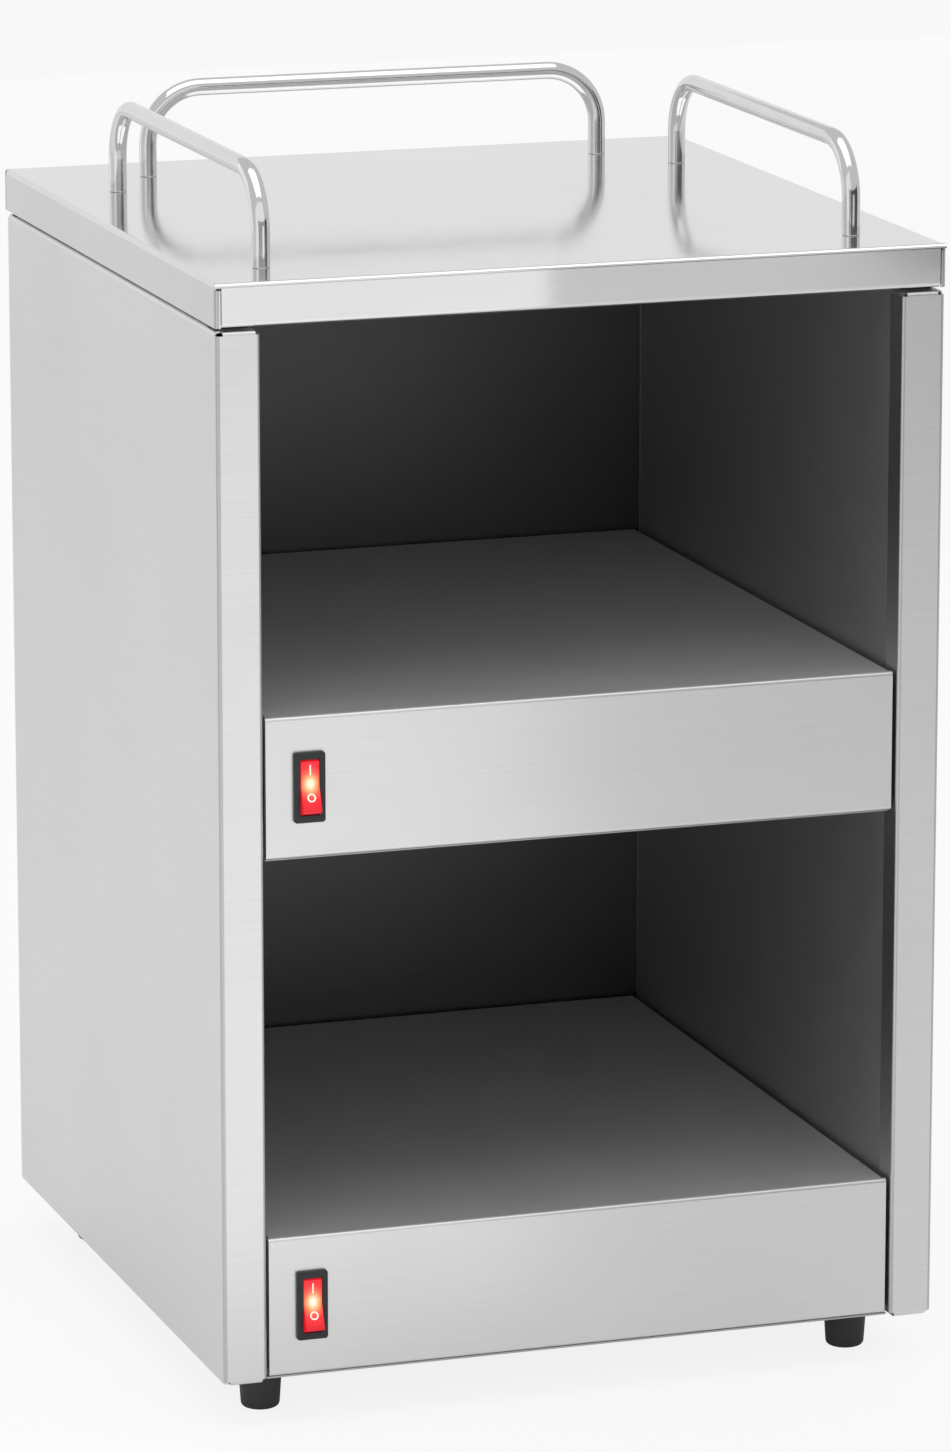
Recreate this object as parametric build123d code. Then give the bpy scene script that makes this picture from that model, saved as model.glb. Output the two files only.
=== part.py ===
from build123d import *
import os
from math import radians, tan

# A cup warmer for a counter: a double-walled cabinet of folded stainless sheet with two heated shelves,
# a rocker switch in the fascia of each shelf, and a gallery of round rod on the cover.
# Frame, in millimetres: the origin is on the counter under the middle, +Z is up, the open front faces -Y,
# and +X is to the right as seen from the front.

# Cabinet
WIDTH = 330.0
DEPTH = 336.0
SIDE_HEIGHT = 464.0
GROUND_CLEARANCE = 22.0
SKIN = 0.8
BEND = 1.0
COLUMN_WIDTH = 19.7
COLUMN_RETURN = 14.0
COLUMN_FLANGE = 10.0
BOTTOM_FLANGE = 14.0
CORNER_NOTCH = 3.0
RELIEF = 0.5
SEAT_GAP = 0.3
WALL_FLANGE = 14.0
WALL_SETBACK = 2.5
BACK_PANEL_MARGIN = 1.0
BASE_SETBACK = 3.0
BASE_REAR_FLANGE = 15.0

# Cover and the ceiling tray below it
COVER_SHEET = 1.0
COVER_GAP = 1.6
COVER_LIP = 19.0
COVER_OVERHANG = 0.4
COVER_RETURN = 8.0
COVER_SEAM = 0.4
COVER_TAB = 2.4
COVER_SEAM_RELIEF = 0.8
CEILING_SETBACK = 8.0
CEILING_RIM = 10.0

# Shelves
FASCIA_HEIGHT = 62.6
UPPER_SHELF_RISE = 233.1
FASCIA_GAP = 1.5
FASCIA_SETBACK = 2.2
SHELF_FRONT_RETURN = 20.0
SHELF_REAR_RETURN = 12.0
SHELF_REAR_GAP = 1.5
UNDERSIDE_SETBACK = 3.0

# Gallery rails
RAIL_ROD = 8.0
RAIL_RISE = 44.0
RAIL_BEND = 25.0
SIDE_RAIL_INSET = 30.5
SIDE_RAIL_SETBACK = 34.7
SIDE_RAIL_REAR_SETBACK = 81.0
BACK_RAIL_SETBACK = 42.0
BACK_RAIL_INSET = 56.0
RAIL_THREAD_DEPTH = 14.0
RAIL_SCREW_REACH = 10.0

# Feet
FOOT_INSET_X = 27.0
FOOT_INSET_Y = 35.6
FOOT_TOP_RADIUS = 10.0
FOOT_BOTTOM_RADIUS = 8.9
FOOT_EDGE = 1.5
FOOT_RECESS_RADIUS = 5.5
FOOT_RECESS_DEPTH = 9.0

# Rocker switches: a standard narrow body, and laps, walls and gaps that the other pieces take from it
BEZEL_SIDE_LAP = 1.0
BEZEL_END_LAP = 1.4
BEZEL_THICKNESS = 2.0
BEZEL_CORNER = 1.2
BEZEL_EDGE = 0.5
SWITCH_INSET = 19.3
SWITCH_BODY_WIDTH = 12.0
SWITCH_BODY_HEIGHT = 28.2
SWITCH_BODY_DEPTH = 20.0
SWITCH_CUTOUT_GAP = 0.2
SWITCH_CLIP = 0.9
SWITCH_CLIP_LENGTH = 5.0
SWITCH_SIDE_WALL = 1.8
SWITCH_END_WALL = 1.9
SOCKET_SKIN = 0.6
ROCKER_GAP = 0.2
ROCKER_TRAVEL = 22.0
ROCKER_WALL = 1.1
ROCKER_SKIRT = 2.0
ROCKER_PROUD = 0.2
ROCKER_BACK_GAP = 1.0
PIVOT_DEPTH = 1.0
TRUNNION_RADIUS = 1.5
TRUNNION_GAP = 0.05
TRUNNION_END_GAP = 0.1
LAMP_RADIUS = 1.6
LAMP_LENGTH = 9.0
BLADE_WIDTH = 4.8
BLADE_THICKNESS = 0.8
BLADE_REACH = 8.0
BLADE_SOCKET = 5.0
BLADE_PITCH = 9.0

# Heaters, below the top of each shelf
MAT_SIDE_MARGIN = 28.0
MAT_END_MARGIN = 48.0
MAT_THICKNESS = 1.6
PAD_THICKNESS = 12.0
CLAMP_WIDTH = 20.0
CLAMP_SHEET = 1.0
CLAMP_LEG_GAP = 5.0
CLAMP_FOOT = 14.0
CLAMP_SPACING = 140.0
STUD_LENGTH = 7.0
CONTROL_SPACING = 80.0
WINDOW_LENGTH = 36.0
WINDOW_DEPTH = 24.0
THERMOSTAT_RADIUS = 8.0
THERMOSTAT_HEIGHT = 10.0
CUTOUT_RADIUS = 6.5
CUTOUT_HEIGHT = 8.0
EAR_SPACING = 25.0
EAR_WIDTH = 8.0
EAR_SHEET = 0.8

# Supply
TERMINAL_BLOCK = (45.0, 20.0, 16.0)
TERMINAL_BLOCK_INSET = (56.0, 50.0)
TERMINAL_POLES = 3
TERMINAL_WELL_RADIUS = 2.8
TERMINAL_WELL_DEPTH = 5.0
TERMINAL_GROOVE = 1.5
EARTH_STUD_SPACING = 48.0
EARTH_STUD_LENGTH = 12.0
GLAND_NOTCH = 15.0
GLAND_RISE = 24.0
GLAND_BORE_RADIUS = 3.7
GLAND_THREAD_RADIUS = 6.0
GLAND_HEX_RADIUS = 9.4
GLAND_HEX_HEIGHT = 3.0
GLAND_DOME_RADIUS = 7.6
GLAND_DOME_CHAMFER = 2.5
GLAND_REACH = 11.0
GLAND_TAIL = 9.0
GLAND_LOCKNUT_HEIGHT = 4.0
GROMMET_PLACE = 60.0
GROMMET_RISE = 22.0
GROMMET_HOLE_RADIUS = 6.0
GROMMET_LIP = 2.0
GROMMET_BORE_RADIUS = 4.0

# Wiring: layers are rises above a bay's floor, and runs are how far a wire goes on before it turns
WIRE_RADIUS = 1.2
WIRE_SIDES = 8
WIRE_BEND = 7.0
WIRE_PITCH = 2.6
FLOOR_LAYER = 8.0
SUPPLY_LAYER = 12.0
OUT_LAYER = 18.0
SWITCHED_LAYER = 22.0
BRIDGE_LAYER = 28.0
LEAD_LAYER = 34.0
SWITCH_RUN = 21.0
LIVE_RUN = 20.0
SWITCHED_RUN = (35.0, 57.0)
OUT_RUN = 20.0
LEAD_RUN = 14.0
DRAIN_RUN = (55.0, 30.0)
LOWER_FEED_RUNS = (28.0, 58.0)
LOWER_DRAIN_RUN = 68.0
UPPER_FEED_RUN = (15.0, 38.0)
UPPER_DRAIN_RUNS = (27.0, 39.0, 40.0)
LIVE_SUPPLY_RUNS = (13.0, 16.0)
NEUTRAL_SUPPLY_RUNS = (16.0, 22.0)
HARNESS_RADIUS = 2.8
HARNESS_INSET = 32.0
SLEEVE = (6.4, 3.0, 9.0)
SLEEVE_OVERHANG = 2.0
LEAD_PATCH = (30.0, 14.0, 4.0)
LEAD_PATCH_PLACE = 15.0
LEAD_SPACING = 14.0

# Fasteners: radius of the thread, and the clearances round it
M3 = 1.5
M4 = 2.0
M5 = 2.5
THREAD_GAP = 0.1
HOLE_GAP = 0.25
HEAD_RATIO = 2.0
HEAD_HEIGHT_RATIO = 1.2
HEAD_CHAMFER_RATIO = 0.5
NUT_RATIO = 2.0
NUT_HEIGHT_RATIO = 1.6
WASHER_RATIO = 2.4
WASHER_SHEET = 1.0
SCREW_REACH = 6.0
SCREW_POINT = 1.0
RIVET_TAIL = 4.0
BACK_SCREW_COUNT = 4
BACK_SCREW_MARGIN = 30.0
EDGE_SCREW_COUNT = 3
EDGE_SCREW_MARGIN = 60.0
ROW_SCREW_MARGIN = 33.8
FRONT_SCREW_DEPTH = 15.5
REAR_SCREW_DEPTH = 8.0
SHELF_SCREW_SPACING = 220.0
SHELF_SCREW_DROP = 22.0

# How deep holes are cut, half each way from their place, and how far other cuts go past a face
DRILL_DEPTH = 10.0
PAST = 1.0

# Levels and faces worked out from the sizes above
HALF_WIDTH = WIDTH / 2
FRONT = -DEPTH / 2
BACK = DEPTH / 2
BODY_BOTTOM = GROUND_CLEARANCE
BODY_TOP = BODY_BOTTOM + SIDE_HEIGHT
BODY_MIDDLE = (BODY_BOTTOM + BODY_TOP) / 2
BEND_OUTER = BEND + SKIN
COLUMN_EDGE = HALF_WIDTH - COLUMN_WIDTH
WALL_FACE = COLUMN_EDGE + SKIN
FLANGE_BACK = BACK - SKIN
WALL_BACK = FLANGE_BACK - SKIN
BASE_BOTTOM = BODY_BOTTOM + SKIN
BASE_TOP = BASE_BOTTOM + SKIN
WALL_TOP = BODY_TOP - SKIN
COVER_LOW = BODY_TOP + COVER_GAP
COVER_TOP = COVER_LOW + COVER_LIP
COVER_BEND_OUTER = BEND + COVER_SHEET
COVER_HALF = HALF_WIDTH + COVER_OVERHANG
COVER_FRONT = FRONT - COVER_OVERHANG
COVER_BACK = BACK + COVER_OVERHANG
COVER_UNDER = COVER_TOP - COVER_SHEET
CEILING_HALF = COVER_HALF - COVER_SHEET - SEAT_GAP
CEILING_FRONT = FRONT + CEILING_SETBACK
CEILING_BACK = COVER_BACK - COVER_SHEET - SEAT_GAP
SHELF_HALF = COLUMN_EDGE - FASCIA_GAP
FASCIA_FACE = FRONT + FASCIA_SETBACK
BEZEL_FRONT = FASCIA_FACE - BEZEL_THICKNESS
SWITCH_BACK = FASCIA_FACE + SWITCH_BODY_DEPTH
SHELF_REAR = FLANGE_BACK - SHELF_REAR_GAP
UPPER_SHELF_BOTTOM = BODY_BOTTOM + UPPER_SHELF_RISE
HOLLOW_X = (HALF_WIDTH + WALL_FACE) / 2
RAIL_AXIS = COVER_TOP + RAIL_RISE - RAIL_ROD / 2
FOOT_X = HALF_WIDTH - FOOT_INSET_X
FOOT_Y = DEPTH / 2 - FOOT_INSET_Y
MAT_HALF_LENGTH = SHELF_HALF - MAT_SIDE_MARGIN
MAT_HALF_DEPTH = DEPTH / 2 - MAT_END_MARGIN
STUD_X = MAT_HALF_LENGTH + CLAMP_LEG_GAP + CLAMP_SHEET + CLAMP_FOOT / 2
SWITCH_X = -SHELF_HALF + SWITCH_INSET
PIVOT_Y = FASCIA_FACE + PIVOT_DEPTH
ROCKER_WIDTH = SWITCH_BODY_WIDTH - 2 * SWITCH_SIDE_WALL
ROCKER_RADIUS = SWITCH_BODY_HEIGHT / 2 - SWITCH_END_WALL
TRUNNION_LENGTH = SWITCH_SIDE_WALL - SOCKET_SKIN - TRUNNION_END_GAP
BLADE_TIP_Y = SWITCH_BACK + BLADE_REACH
HARNESS_END = -SHELF_HALF + HARNESS_INSET
TERMINAL_BLOCK_X = -SHELF_HALF + TERMINAL_BLOCK_INSET[0]
TERMINAL_BLOCK_Y = BACK - TERMINAL_BLOCK_INSET[1]

# How a solid stands on the origin
STANDING = (Align.CENTER, Align.CENTER, Align.MIN)
HANGING = (Align.CENTER, Align.CENTER, Align.MAX)

# The side of a section's path on which the metal lies
LEFT = 1
RIGHT = -1

# Turns that point a fastener's head
HEAD_UP = Rot(0, 0, 0)
HEAD_DOWN = Rot(180, 0, 0)
HEAD_BACK = Rot(-90, 0, 0)
HEAD_LEFT = Rot(0, -90, 0)
HEAD_RIGHT = Rot(0, 90, 0)


def along_x(section, start, end):
    """Pushes a section drawn in Y and Z along X."""
    return extrude(Plane.YZ.offset(start) * section, amount=end - start, dir=(1, 0, 0))


def along_y(section, start, end):
    """Pushes a section drawn in X and Z along Y."""
    return extrude(Plane.XZ.offset(-start) * section, amount=end - start, dir=(0, 1, 0))


def along_z(section, start, end):
    """Pushes a section drawn in X and Y along Z."""
    return extrude(Plane.XY.offset(start) * section, amount=end - start, dir=(0, 0, 1))


def block(xs, ys, zs):
    """A box between two values on each axis."""
    low = [min(pair) for pair in (xs, ys, zs)]
    high = [max(pair) for pair in (xs, ys, zs)]
    sides = [b - a for a, b in zip(low, high)]
    return Pos(*low) * Box(*sides, align=Align.MIN)


def sheet_section(path, metal, sheet=SKIN):
    """Section of a folded sheet: path runs along one face, and the metal lies on its left or right."""
    points = [Vector(*point) for point in path]
    headings = [(b - a).normalized() for a, b in zip(points, points[1:])]
    normals = [Vector(-h.Y, h.X) * metal for h in headings]
    near_radii = []
    far_radii = []
    far = [points[0] + normals[0] * sheet]
    for corner, before, after in zip(points[1:], zip(headings, normals), zip(headings[1:], normals[1:])):
        far.append(corner + (before[1] + after[1]) * sheet)
        turns_to_metal = before[0].cross(after[0]).Z * metal > 0
        near_radii.append(BEND + sheet if turns_to_metal else BEND)
        far_radii.append(BEND if turns_to_metal else BEND + sheet)
    far.append(points[-1] + normals[-1] * sheet)
    edges = [
        *FilletPolyline(*points, radius=near_radii).edges(),
        *FilletPolyline(*far, radius=far_radii).edges(),
        Line(points[0], far[0]).edge(),
        Line(points[-1], far[-1]).edge(),
    ]
    return make_face(edges)


def copies(piece, spots, turn=HEAD_UP):
    """One group of separate, equal pieces."""
    return Part() + [Pos(*spot) * turn * piece for spot in spots]


def drilled(part, spots, radius, turn=HEAD_UP, depth=DRILL_DEPTH):
    """Cuts a round hole at each spot, along the axis that the turn points."""
    return part - [Pos(*spot) * turn * Cylinder(radius, depth) for spot in spots]


def spread(count, start, end):
    """Evenly spaced values from start to end."""
    return [start + (end - start) * step / (count - 1) for step in range(count)]


def pan_screw(thread, length):
    """A pan-head screw: the head stands on Z = 0 and the shank hangs below it."""
    head = Cylinder(HEAD_RATIO * thread, HEAD_HEIGHT_RATIO * thread, align=STANDING)
    head = chamfer(head.edges().group_by(Axis.Z)[-1], HEAD_CHAMFER_RATIO * thread)
    shank = Cylinder(thread - THREAD_GAP, length, align=HANGING)
    return head + shank


def hex_screw(thread, length):
    """A hexagon-head screw, placed as the pan-head one."""
    head = extrude(RegularPolygon(NUT_RATIO * thread, 6), NUT_HEIGHT_RATIO * thread)
    return head + Cylinder(thread - THREAD_GAP, length, align=HANGING)


def hex_nut(thread):
    """A hexagon nut standing on Z = 0."""
    height = NUT_HEIGHT_RATIO * thread
    return extrude(RegularPolygon(NUT_RATIO * thread, 6), height) - Cylinder(thread, 3 * height)


def washer(thread):
    """A flat washer standing on Z = 0."""
    ring = Cylinder(WASHER_RATIO * thread, WASHER_SHEET, align=STANDING)
    return ring - Cylinder(thread + THREAD_GAP, 3 * WASHER_SHEET)


# Places shared by the holes and by what goes through them
BACK_SCREW_LEVELS = spread(BACK_SCREW_COUNT, BODY_BOTTOM + BACK_SCREW_MARGIN, BODY_TOP - BACK_SCREW_MARGIN)
BACK_SCREW_SPOTS = [(side * HOLLOW_X, BACK, level) for side in (-1, 1) for level in BACK_SCREW_LEVELS]
EDGE_SCREW_YS = spread(EDGE_SCREW_COUNT, FRONT + EDGE_SCREW_MARGIN, BACK - EDGE_SCREW_MARGIN)
BASE_SCREW_SPOTS = [(side * HOLLOW_X, y, BODY_BOTTOM) for side in (-1, 1) for y in EDGE_SCREW_YS]
CEILING_RIVET_SPOTS = [(side * HOLLOW_X, y, BODY_TOP + SKIN) for side in (-1, 1) for y in EDGE_SCREW_YS]
ROW_SCREW_XS = spread(EDGE_SCREW_COUNT, ROW_SCREW_MARGIN - SHELF_HALF, SHELF_HALF - ROW_SCREW_MARGIN)
COVER_SCREW_SPOTS = [(x, COVER_BACK, (COVER_LOW + COVER_UNDER) / 2) for x in ROW_SCREW_XS]
RETURN_SCREW_YS = (FASCIA_FACE + FRONT_SCREW_DEPTH, SHELF_REAR - REAR_SCREW_DEPTH)
RETURN_SCREW_SPOTS = [(x, y) for x in ROW_SCREW_XS for y in RETURN_SCREW_YS]
FOOT_SPOTS = {
    "front_left_foot": (-FOOT_X, -FOOT_Y),
    "front_right_foot": (FOOT_X, -FOOT_Y),
    "rear_left_foot": (-FOOT_X, FOOT_Y),
    "rear_right_foot": (FOOT_X, FOOT_Y),
}
SIDE_RAIL_X = HALF_WIDTH - SIDE_RAIL_INSET
SIDE_RAIL_YS = (FRONT + SIDE_RAIL_SETBACK, BACK - SIDE_RAIL_REAR_SETBACK)
BACK_RAIL_XS = (-HALF_WIDTH + BACK_RAIL_INSET, HALF_WIDTH - BACK_RAIL_INSET)
RAIL_ENDS = {
    "left_rail": [(-SIDE_RAIL_X, y) for y in SIDE_RAIL_YS],
    "right_rail": [(SIDE_RAIL_X, y) for y in SIDE_RAIL_YS],
    "back_rail": [(x, BACK - BACK_RAIL_SETBACK) for x in BACK_RAIL_XS],
}
RAIL_SPOTS = [(*end, COVER_UNDER) for ends in RAIL_ENDS.values() for end in ends]
SHELF_BOTTOMS = {"lower": BASE_TOP, "upper": UPPER_SHELF_BOTTOM}
GLAND_SPOT = (TERMINAL_BLOCK_X, BACK, BASE_TOP + GLAND_RISE)


def shelf_top(bottom):
    """Level of a shelf's heated surface."""
    return bottom + FASCIA_HEIGHT


def panel_end(flange_edge):
    """The folded top of the left side panel: its side and column flanges, mitred at the corner."""
    flat = BODY_TOP - BEND_OUTER - SKIN
    side_path = [(-HALF_WIDTH, flat), (-HALF_WIDTH, BODY_TOP), (flange_edge, BODY_TOP)]
    front_path = [(FRONT, flat), (FRONT, BODY_TOP), (FRONT + COLUMN_FLANGE, BODY_TOP)]
    end_gap = BEND_OUTER + RELIEF
    side_flange = along_y(sheet_section(side_path, RIGHT), FRONT + CORNER_NOTCH, FLANGE_BACK - end_gap)
    front_xs = (-HALF_WIDTH + CORNER_NOTCH, -COLUMN_EDGE - end_gap)
    front_flange = along_x(sheet_section(front_path, RIGHT), *front_xs)
    reach = 2 * COLUMN_WIDTH
    half_gap = SEAT_GAP / 2
    front_side = Polygon((-half_gap, 0), (reach, 0), (reach, reach + half_gap), align=None)
    side_side = Polygon((half_gap, 0), (reach + half_gap, reach), (-PAST, reach), (-PAST, 0), align=None)
    corner = Pos(-HALF_WIDTH, FRONT)
    side_flange -= along_z(corner * front_side, flat, BODY_TOP + SKIN)
    front_flange -= along_z(corner * side_side, flat, BODY_TOP + SKIN)
    return side_flange + front_flange


def side_panel():
    """The left outer skin, folded round the front into a column, with flanges at its back, top and bottom."""
    path = [
        (-COLUMN_EDGE, FRONT + COLUMN_RETURN),
        (-COLUMN_EDGE, FRONT),
        (-HALF_WIDTH, FRONT),
        (-HALF_WIDTH, FLANGE_BACK),
        (-WALL_FACE, FLANGE_BACK),
    ]
    panel = along_z(sheet_section(path, RIGHT), BODY_BOTTOM + BEND_OUTER, BODY_TOP - BEND_OUTER)
    top = panel_end(-WALL_FACE)
    bottom = mirror(panel_end(-HALF_WIDTH + BOTTOM_FLANGE), about=Plane.XY.offset(BODY_MIDDLE))
    panel += [top, bottom]
    panel = drilled(panel, [spot for spot in BACK_SCREW_SPOTS if spot[0] < 0], M4, HEAD_BACK)
    panel = drilled(panel, [spot for spot in CEILING_RIVET_SPOTS if spot[0] < 0], M3 + THREAD_GAP)
    return drilled(panel, [spot for spot in BASE_SCREW_SPOTS if spot[0] < 0], M4 + HOLE_GAP)


def inner_wall(side):
    """The wall of the compartments on one side, with flanges that turn into the hollow of the side."""
    foot_edge = -WALL_FACE - WALL_FLANGE
    path = [(foot_edge, BASE_TOP), (-WALL_FACE, BASE_TOP), (-WALL_FACE, WALL_TOP), (foot_edge, WALL_TOP)]
    wall = along_y(sheet_section(path, LEFT), FRONT + WALL_SETBACK, WALL_BACK - BEND_OUTER)
    rear_path = [(-WALL_FACE, WALL_BACK - BEND_OUTER - SKIN), (-WALL_FACE, WALL_BACK), (foot_edge, WALL_BACK)]
    wall += along_z(
        sheet_section(rear_path, LEFT), BASE_TOP + BEND_OUTER + RELIEF, WALL_TOP - BEND_OUTER - RELIEF
    )
    wall = drilled(wall, [spot for spot in BACK_SCREW_SPOTS if spot[0] < 0], M4, HEAD_BACK)
    wall = drilled(wall, [spot for spot in CEILING_RIVET_SPOTS if spot[0] < 0], M3 + THREAD_GAP)
    wall = drilled(wall, [spot for spot in BASE_SCREW_SPOTS if spot[0] < 0], M4)
    for bottom in SHELF_BOTTOMS.values():
        spots = [(-WALL_FACE, y, level) for _, y, level in shelf_screw_spots(bottom)]
        wall = drilled(wall, spots, M4 + HOLE_GAP, HEAD_LEFT)
    if side > 0:
        return mirror(wall, about=Plane.YZ)
    return drilled(wall, grommet_spots(), GROMMET_HOLE_RADIUS, HEAD_LEFT)


def grommet_spots():
    """Centres of the two wire holes in the left inner wall, on its face."""
    return [(-WALL_FACE, GROMMET_PLACE, bottom + GROMMET_RISE) for bottom in SHELF_BOTTOMS.values()]


def back_panel():
    """The flat sheet that closes the back, with the hole for the cord gland."""
    half = HALF_WIDTH - BEND_OUTER
    levels = (BODY_BOTTOM + BACK_PANEL_MARGIN, BODY_TOP - BACK_PANEL_MARGIN)
    panel = block((-half, half), (FLANGE_BACK, BACK), levels)
    panel = drilled(panel, BACK_SCREW_SPOTS, M4 + HOLE_GAP, HEAD_BACK)
    return drilled(panel, [GLAND_SPOT], GLAND_THREAD_RADIUS + THREAD_GAP, HEAD_BACK)


def base_plate():
    """The floor: it lies on the side panels' bottom flanges, clears the columns and turns up at the back."""
    half_middle = COLUMN_EDGE - RELIEF
    path = [
        (FRONT + BASE_SETBACK, BASE_BOTTOM),
        (FLANGE_BACK, BASE_BOTTOM),
        (FLANGE_BACK, BASE_BOTTOM + BASE_REAR_FLANGE),
    ]
    plate = along_x(sheet_section(path, LEFT), -half_middle, half_middle)
    half = HALF_WIDTH - BEND_OUTER - SEAT_GAP
    ys = (FRONT + COLUMN_RETURN + RELIEF, WALL_BACK - SEAT_GAP)
    for side in (-1, 1):
        plate += block((side * (half_middle - PAST), side * half), ys, (BASE_BOTTOM, BASE_TOP))
    plate = drilled(plate, BASE_SCREW_SPOTS, M4 + HOLE_GAP)
    plate = drilled(plate, [(*spot, BASE_TOP) for spot in RETURN_SCREW_SPOTS], M4 + HOLE_GAP)
    plate = drilled(plate, [(*spot, BASE_TOP) for spot in FOOT_SPOTS.values()], M4 + HOLE_GAP)
    return plate


def top_cover():
    """The cover: a folded tray. Short tabs turn its side lips round the front corners to the front lip."""
    path = [
        (COVER_FRONT + COVER_RETURN, COVER_LOW),
        (COVER_FRONT, COVER_LOW),
        (COVER_FRONT, COVER_TOP),
        (COVER_BACK, COVER_TOP),
        (COVER_BACK, COVER_LOW),
    ]
    cover = along_x(sheet_section(path, RIGHT, COVER_SHEET), -COVER_HALF, COVER_HALF)
    strip = COVER_HALF - COVER_BEND_OUTER
    bend_ys = (COVER_FRONT + COVER_BEND_OUTER, COVER_BACK - COVER_BEND_OUTER)
    lip_ys = (COVER_FRONT + COVER_RETURN, COVER_BACK - COVER_SHEET - COVER_SEAM)
    lip_levels = (COVER_LOW, COVER_TOP - COVER_BEND_OUTER - COVER_SEAM_RELIEF)
    tab_end = COVER_HALF - COVER_TAB
    for side in (-1, 1):
        end_xs = (side * strip, side * (COVER_HALF + PAST))
        cover -= block(end_xs, bend_ys, (COVER_LOW - PAST, COVER_TOP + PAST))
        cover -= block(
            end_xs,
            (COVER_FRONT - PAST, COVER_BACK - COVER_SHEET),
            (COVER_LOW - PAST, COVER_TOP - COVER_BEND_OUTER),
        )
        cover -= block(
            (side * (tab_end - COVER_SEAM), side * COVER_HALF),
            (COVER_FRONT - PAST, COVER_FRONT + COVER_RETURN + PAST),
            (COVER_LOW - PAST, COVER_TOP - COVER_BEND_OUTER),
        )
        lip_path = [
            (side * (strip - COVER_SHEET), COVER_TOP),
            (side * COVER_HALF, COVER_TOP),
            (side * COVER_HALF, COVER_LOW),
        ]
        metal = RIGHT if side > 0 else LEFT
        cover += along_y(sheet_section(lip_path, metal, COVER_SHEET), *bend_ys)
        cover += block((side * (COVER_HALF - COVER_SHEET), side * COVER_HALF), lip_ys, lip_levels)
        tab_path = [
            (side * COVER_HALF, lip_ys[0]),
            (side * COVER_HALF, COVER_FRONT),
            (side * tab_end, COVER_FRONT),
        ]
        cover += along_z(sheet_section(tab_path, metal, COVER_SHEET), *lip_levels)
    cover = drilled(cover, RAIL_SPOTS, M5 + HOLE_GAP)
    return drilled(cover, COVER_SCREW_SPOTS, M4 + HOLE_GAP, HEAD_BACK)


def ceiling_tray():
    """The roof of the upper compartment, turned up on four sides to carry the cover."""
    path = [
        (CEILING_FRONT + CEILING_RIM, COVER_UNDER),
        (CEILING_FRONT, COVER_UNDER),
        (CEILING_FRONT, BODY_TOP),
        (CEILING_BACK, BODY_TOP),
        (CEILING_BACK, COVER_UNDER),
        (CEILING_BACK - CEILING_RIM, COVER_UNDER),
    ]
    half = CEILING_HALF - BEND_OUTER
    tray = along_x(sheet_section(path, LEFT), -half, half)
    for side in (-1, 1):
        side_path = [
            (side * (half - SKIN), BODY_TOP),
            (side * CEILING_HALF, BODY_TOP),
            (side * CEILING_HALF, COVER_UNDER),
            (side * (CEILING_HALF - CEILING_RIM), COVER_UNDER),
        ]
        metal = LEFT if side > 0 else RIGHT
        tray += along_y(
            sheet_section(side_path, metal),
            CEILING_FRONT + CEILING_RIM + RELIEF,
            CEILING_BACK - CEILING_RIM - RELIEF,
        )
    tray = drilled(tray, CEILING_RIVET_SPOTS, M3 + THREAD_GAP)
    return drilled(tray, COVER_SCREW_SPOTS, M4, HEAD_BACK)


def shelf_screw_spots(bottom):
    """Places of a shelf's left side screws, on the outside of its side flange."""
    level = shelf_top(bottom) - SHELF_SCREW_DROP
    return [(-SHELF_HALF, y, level) for y in (-SHELF_SCREW_SPACING / 2, SHELF_SCREW_SPACING / 2)]


def mirrored_spots(spots):
    """The same places on the right."""
    return [(-x, y, z) for x, y, z in spots]


def control_spots(bottom):
    """Centres of the thermostat and the thermal cut-out, on the shelf's underside."""
    under = shelf_top(bottom) - SKIN
    return [(-CONTROL_SPACING / 2, 0, under), (CONTROL_SPACING / 2, 0, under)]


def control_stud_spots(bottom):
    """Studs that hold the ears of both controls."""
    ears = (-EAR_SPACING / 2, EAR_SPACING / 2)
    return [(x + ear, y, z) for x, y, z in control_spots(bottom) for ear in ears]


def clamp_stud_spots(bottom):
    """Studs that hold the ends of the clamp bars."""
    under = shelf_top(bottom) - SKIN
    return [(x, y, under) for y in (-CLAMP_SPACING / 2, CLAMP_SPACING / 2) for x in (-STUD_X, STUD_X)]


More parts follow.
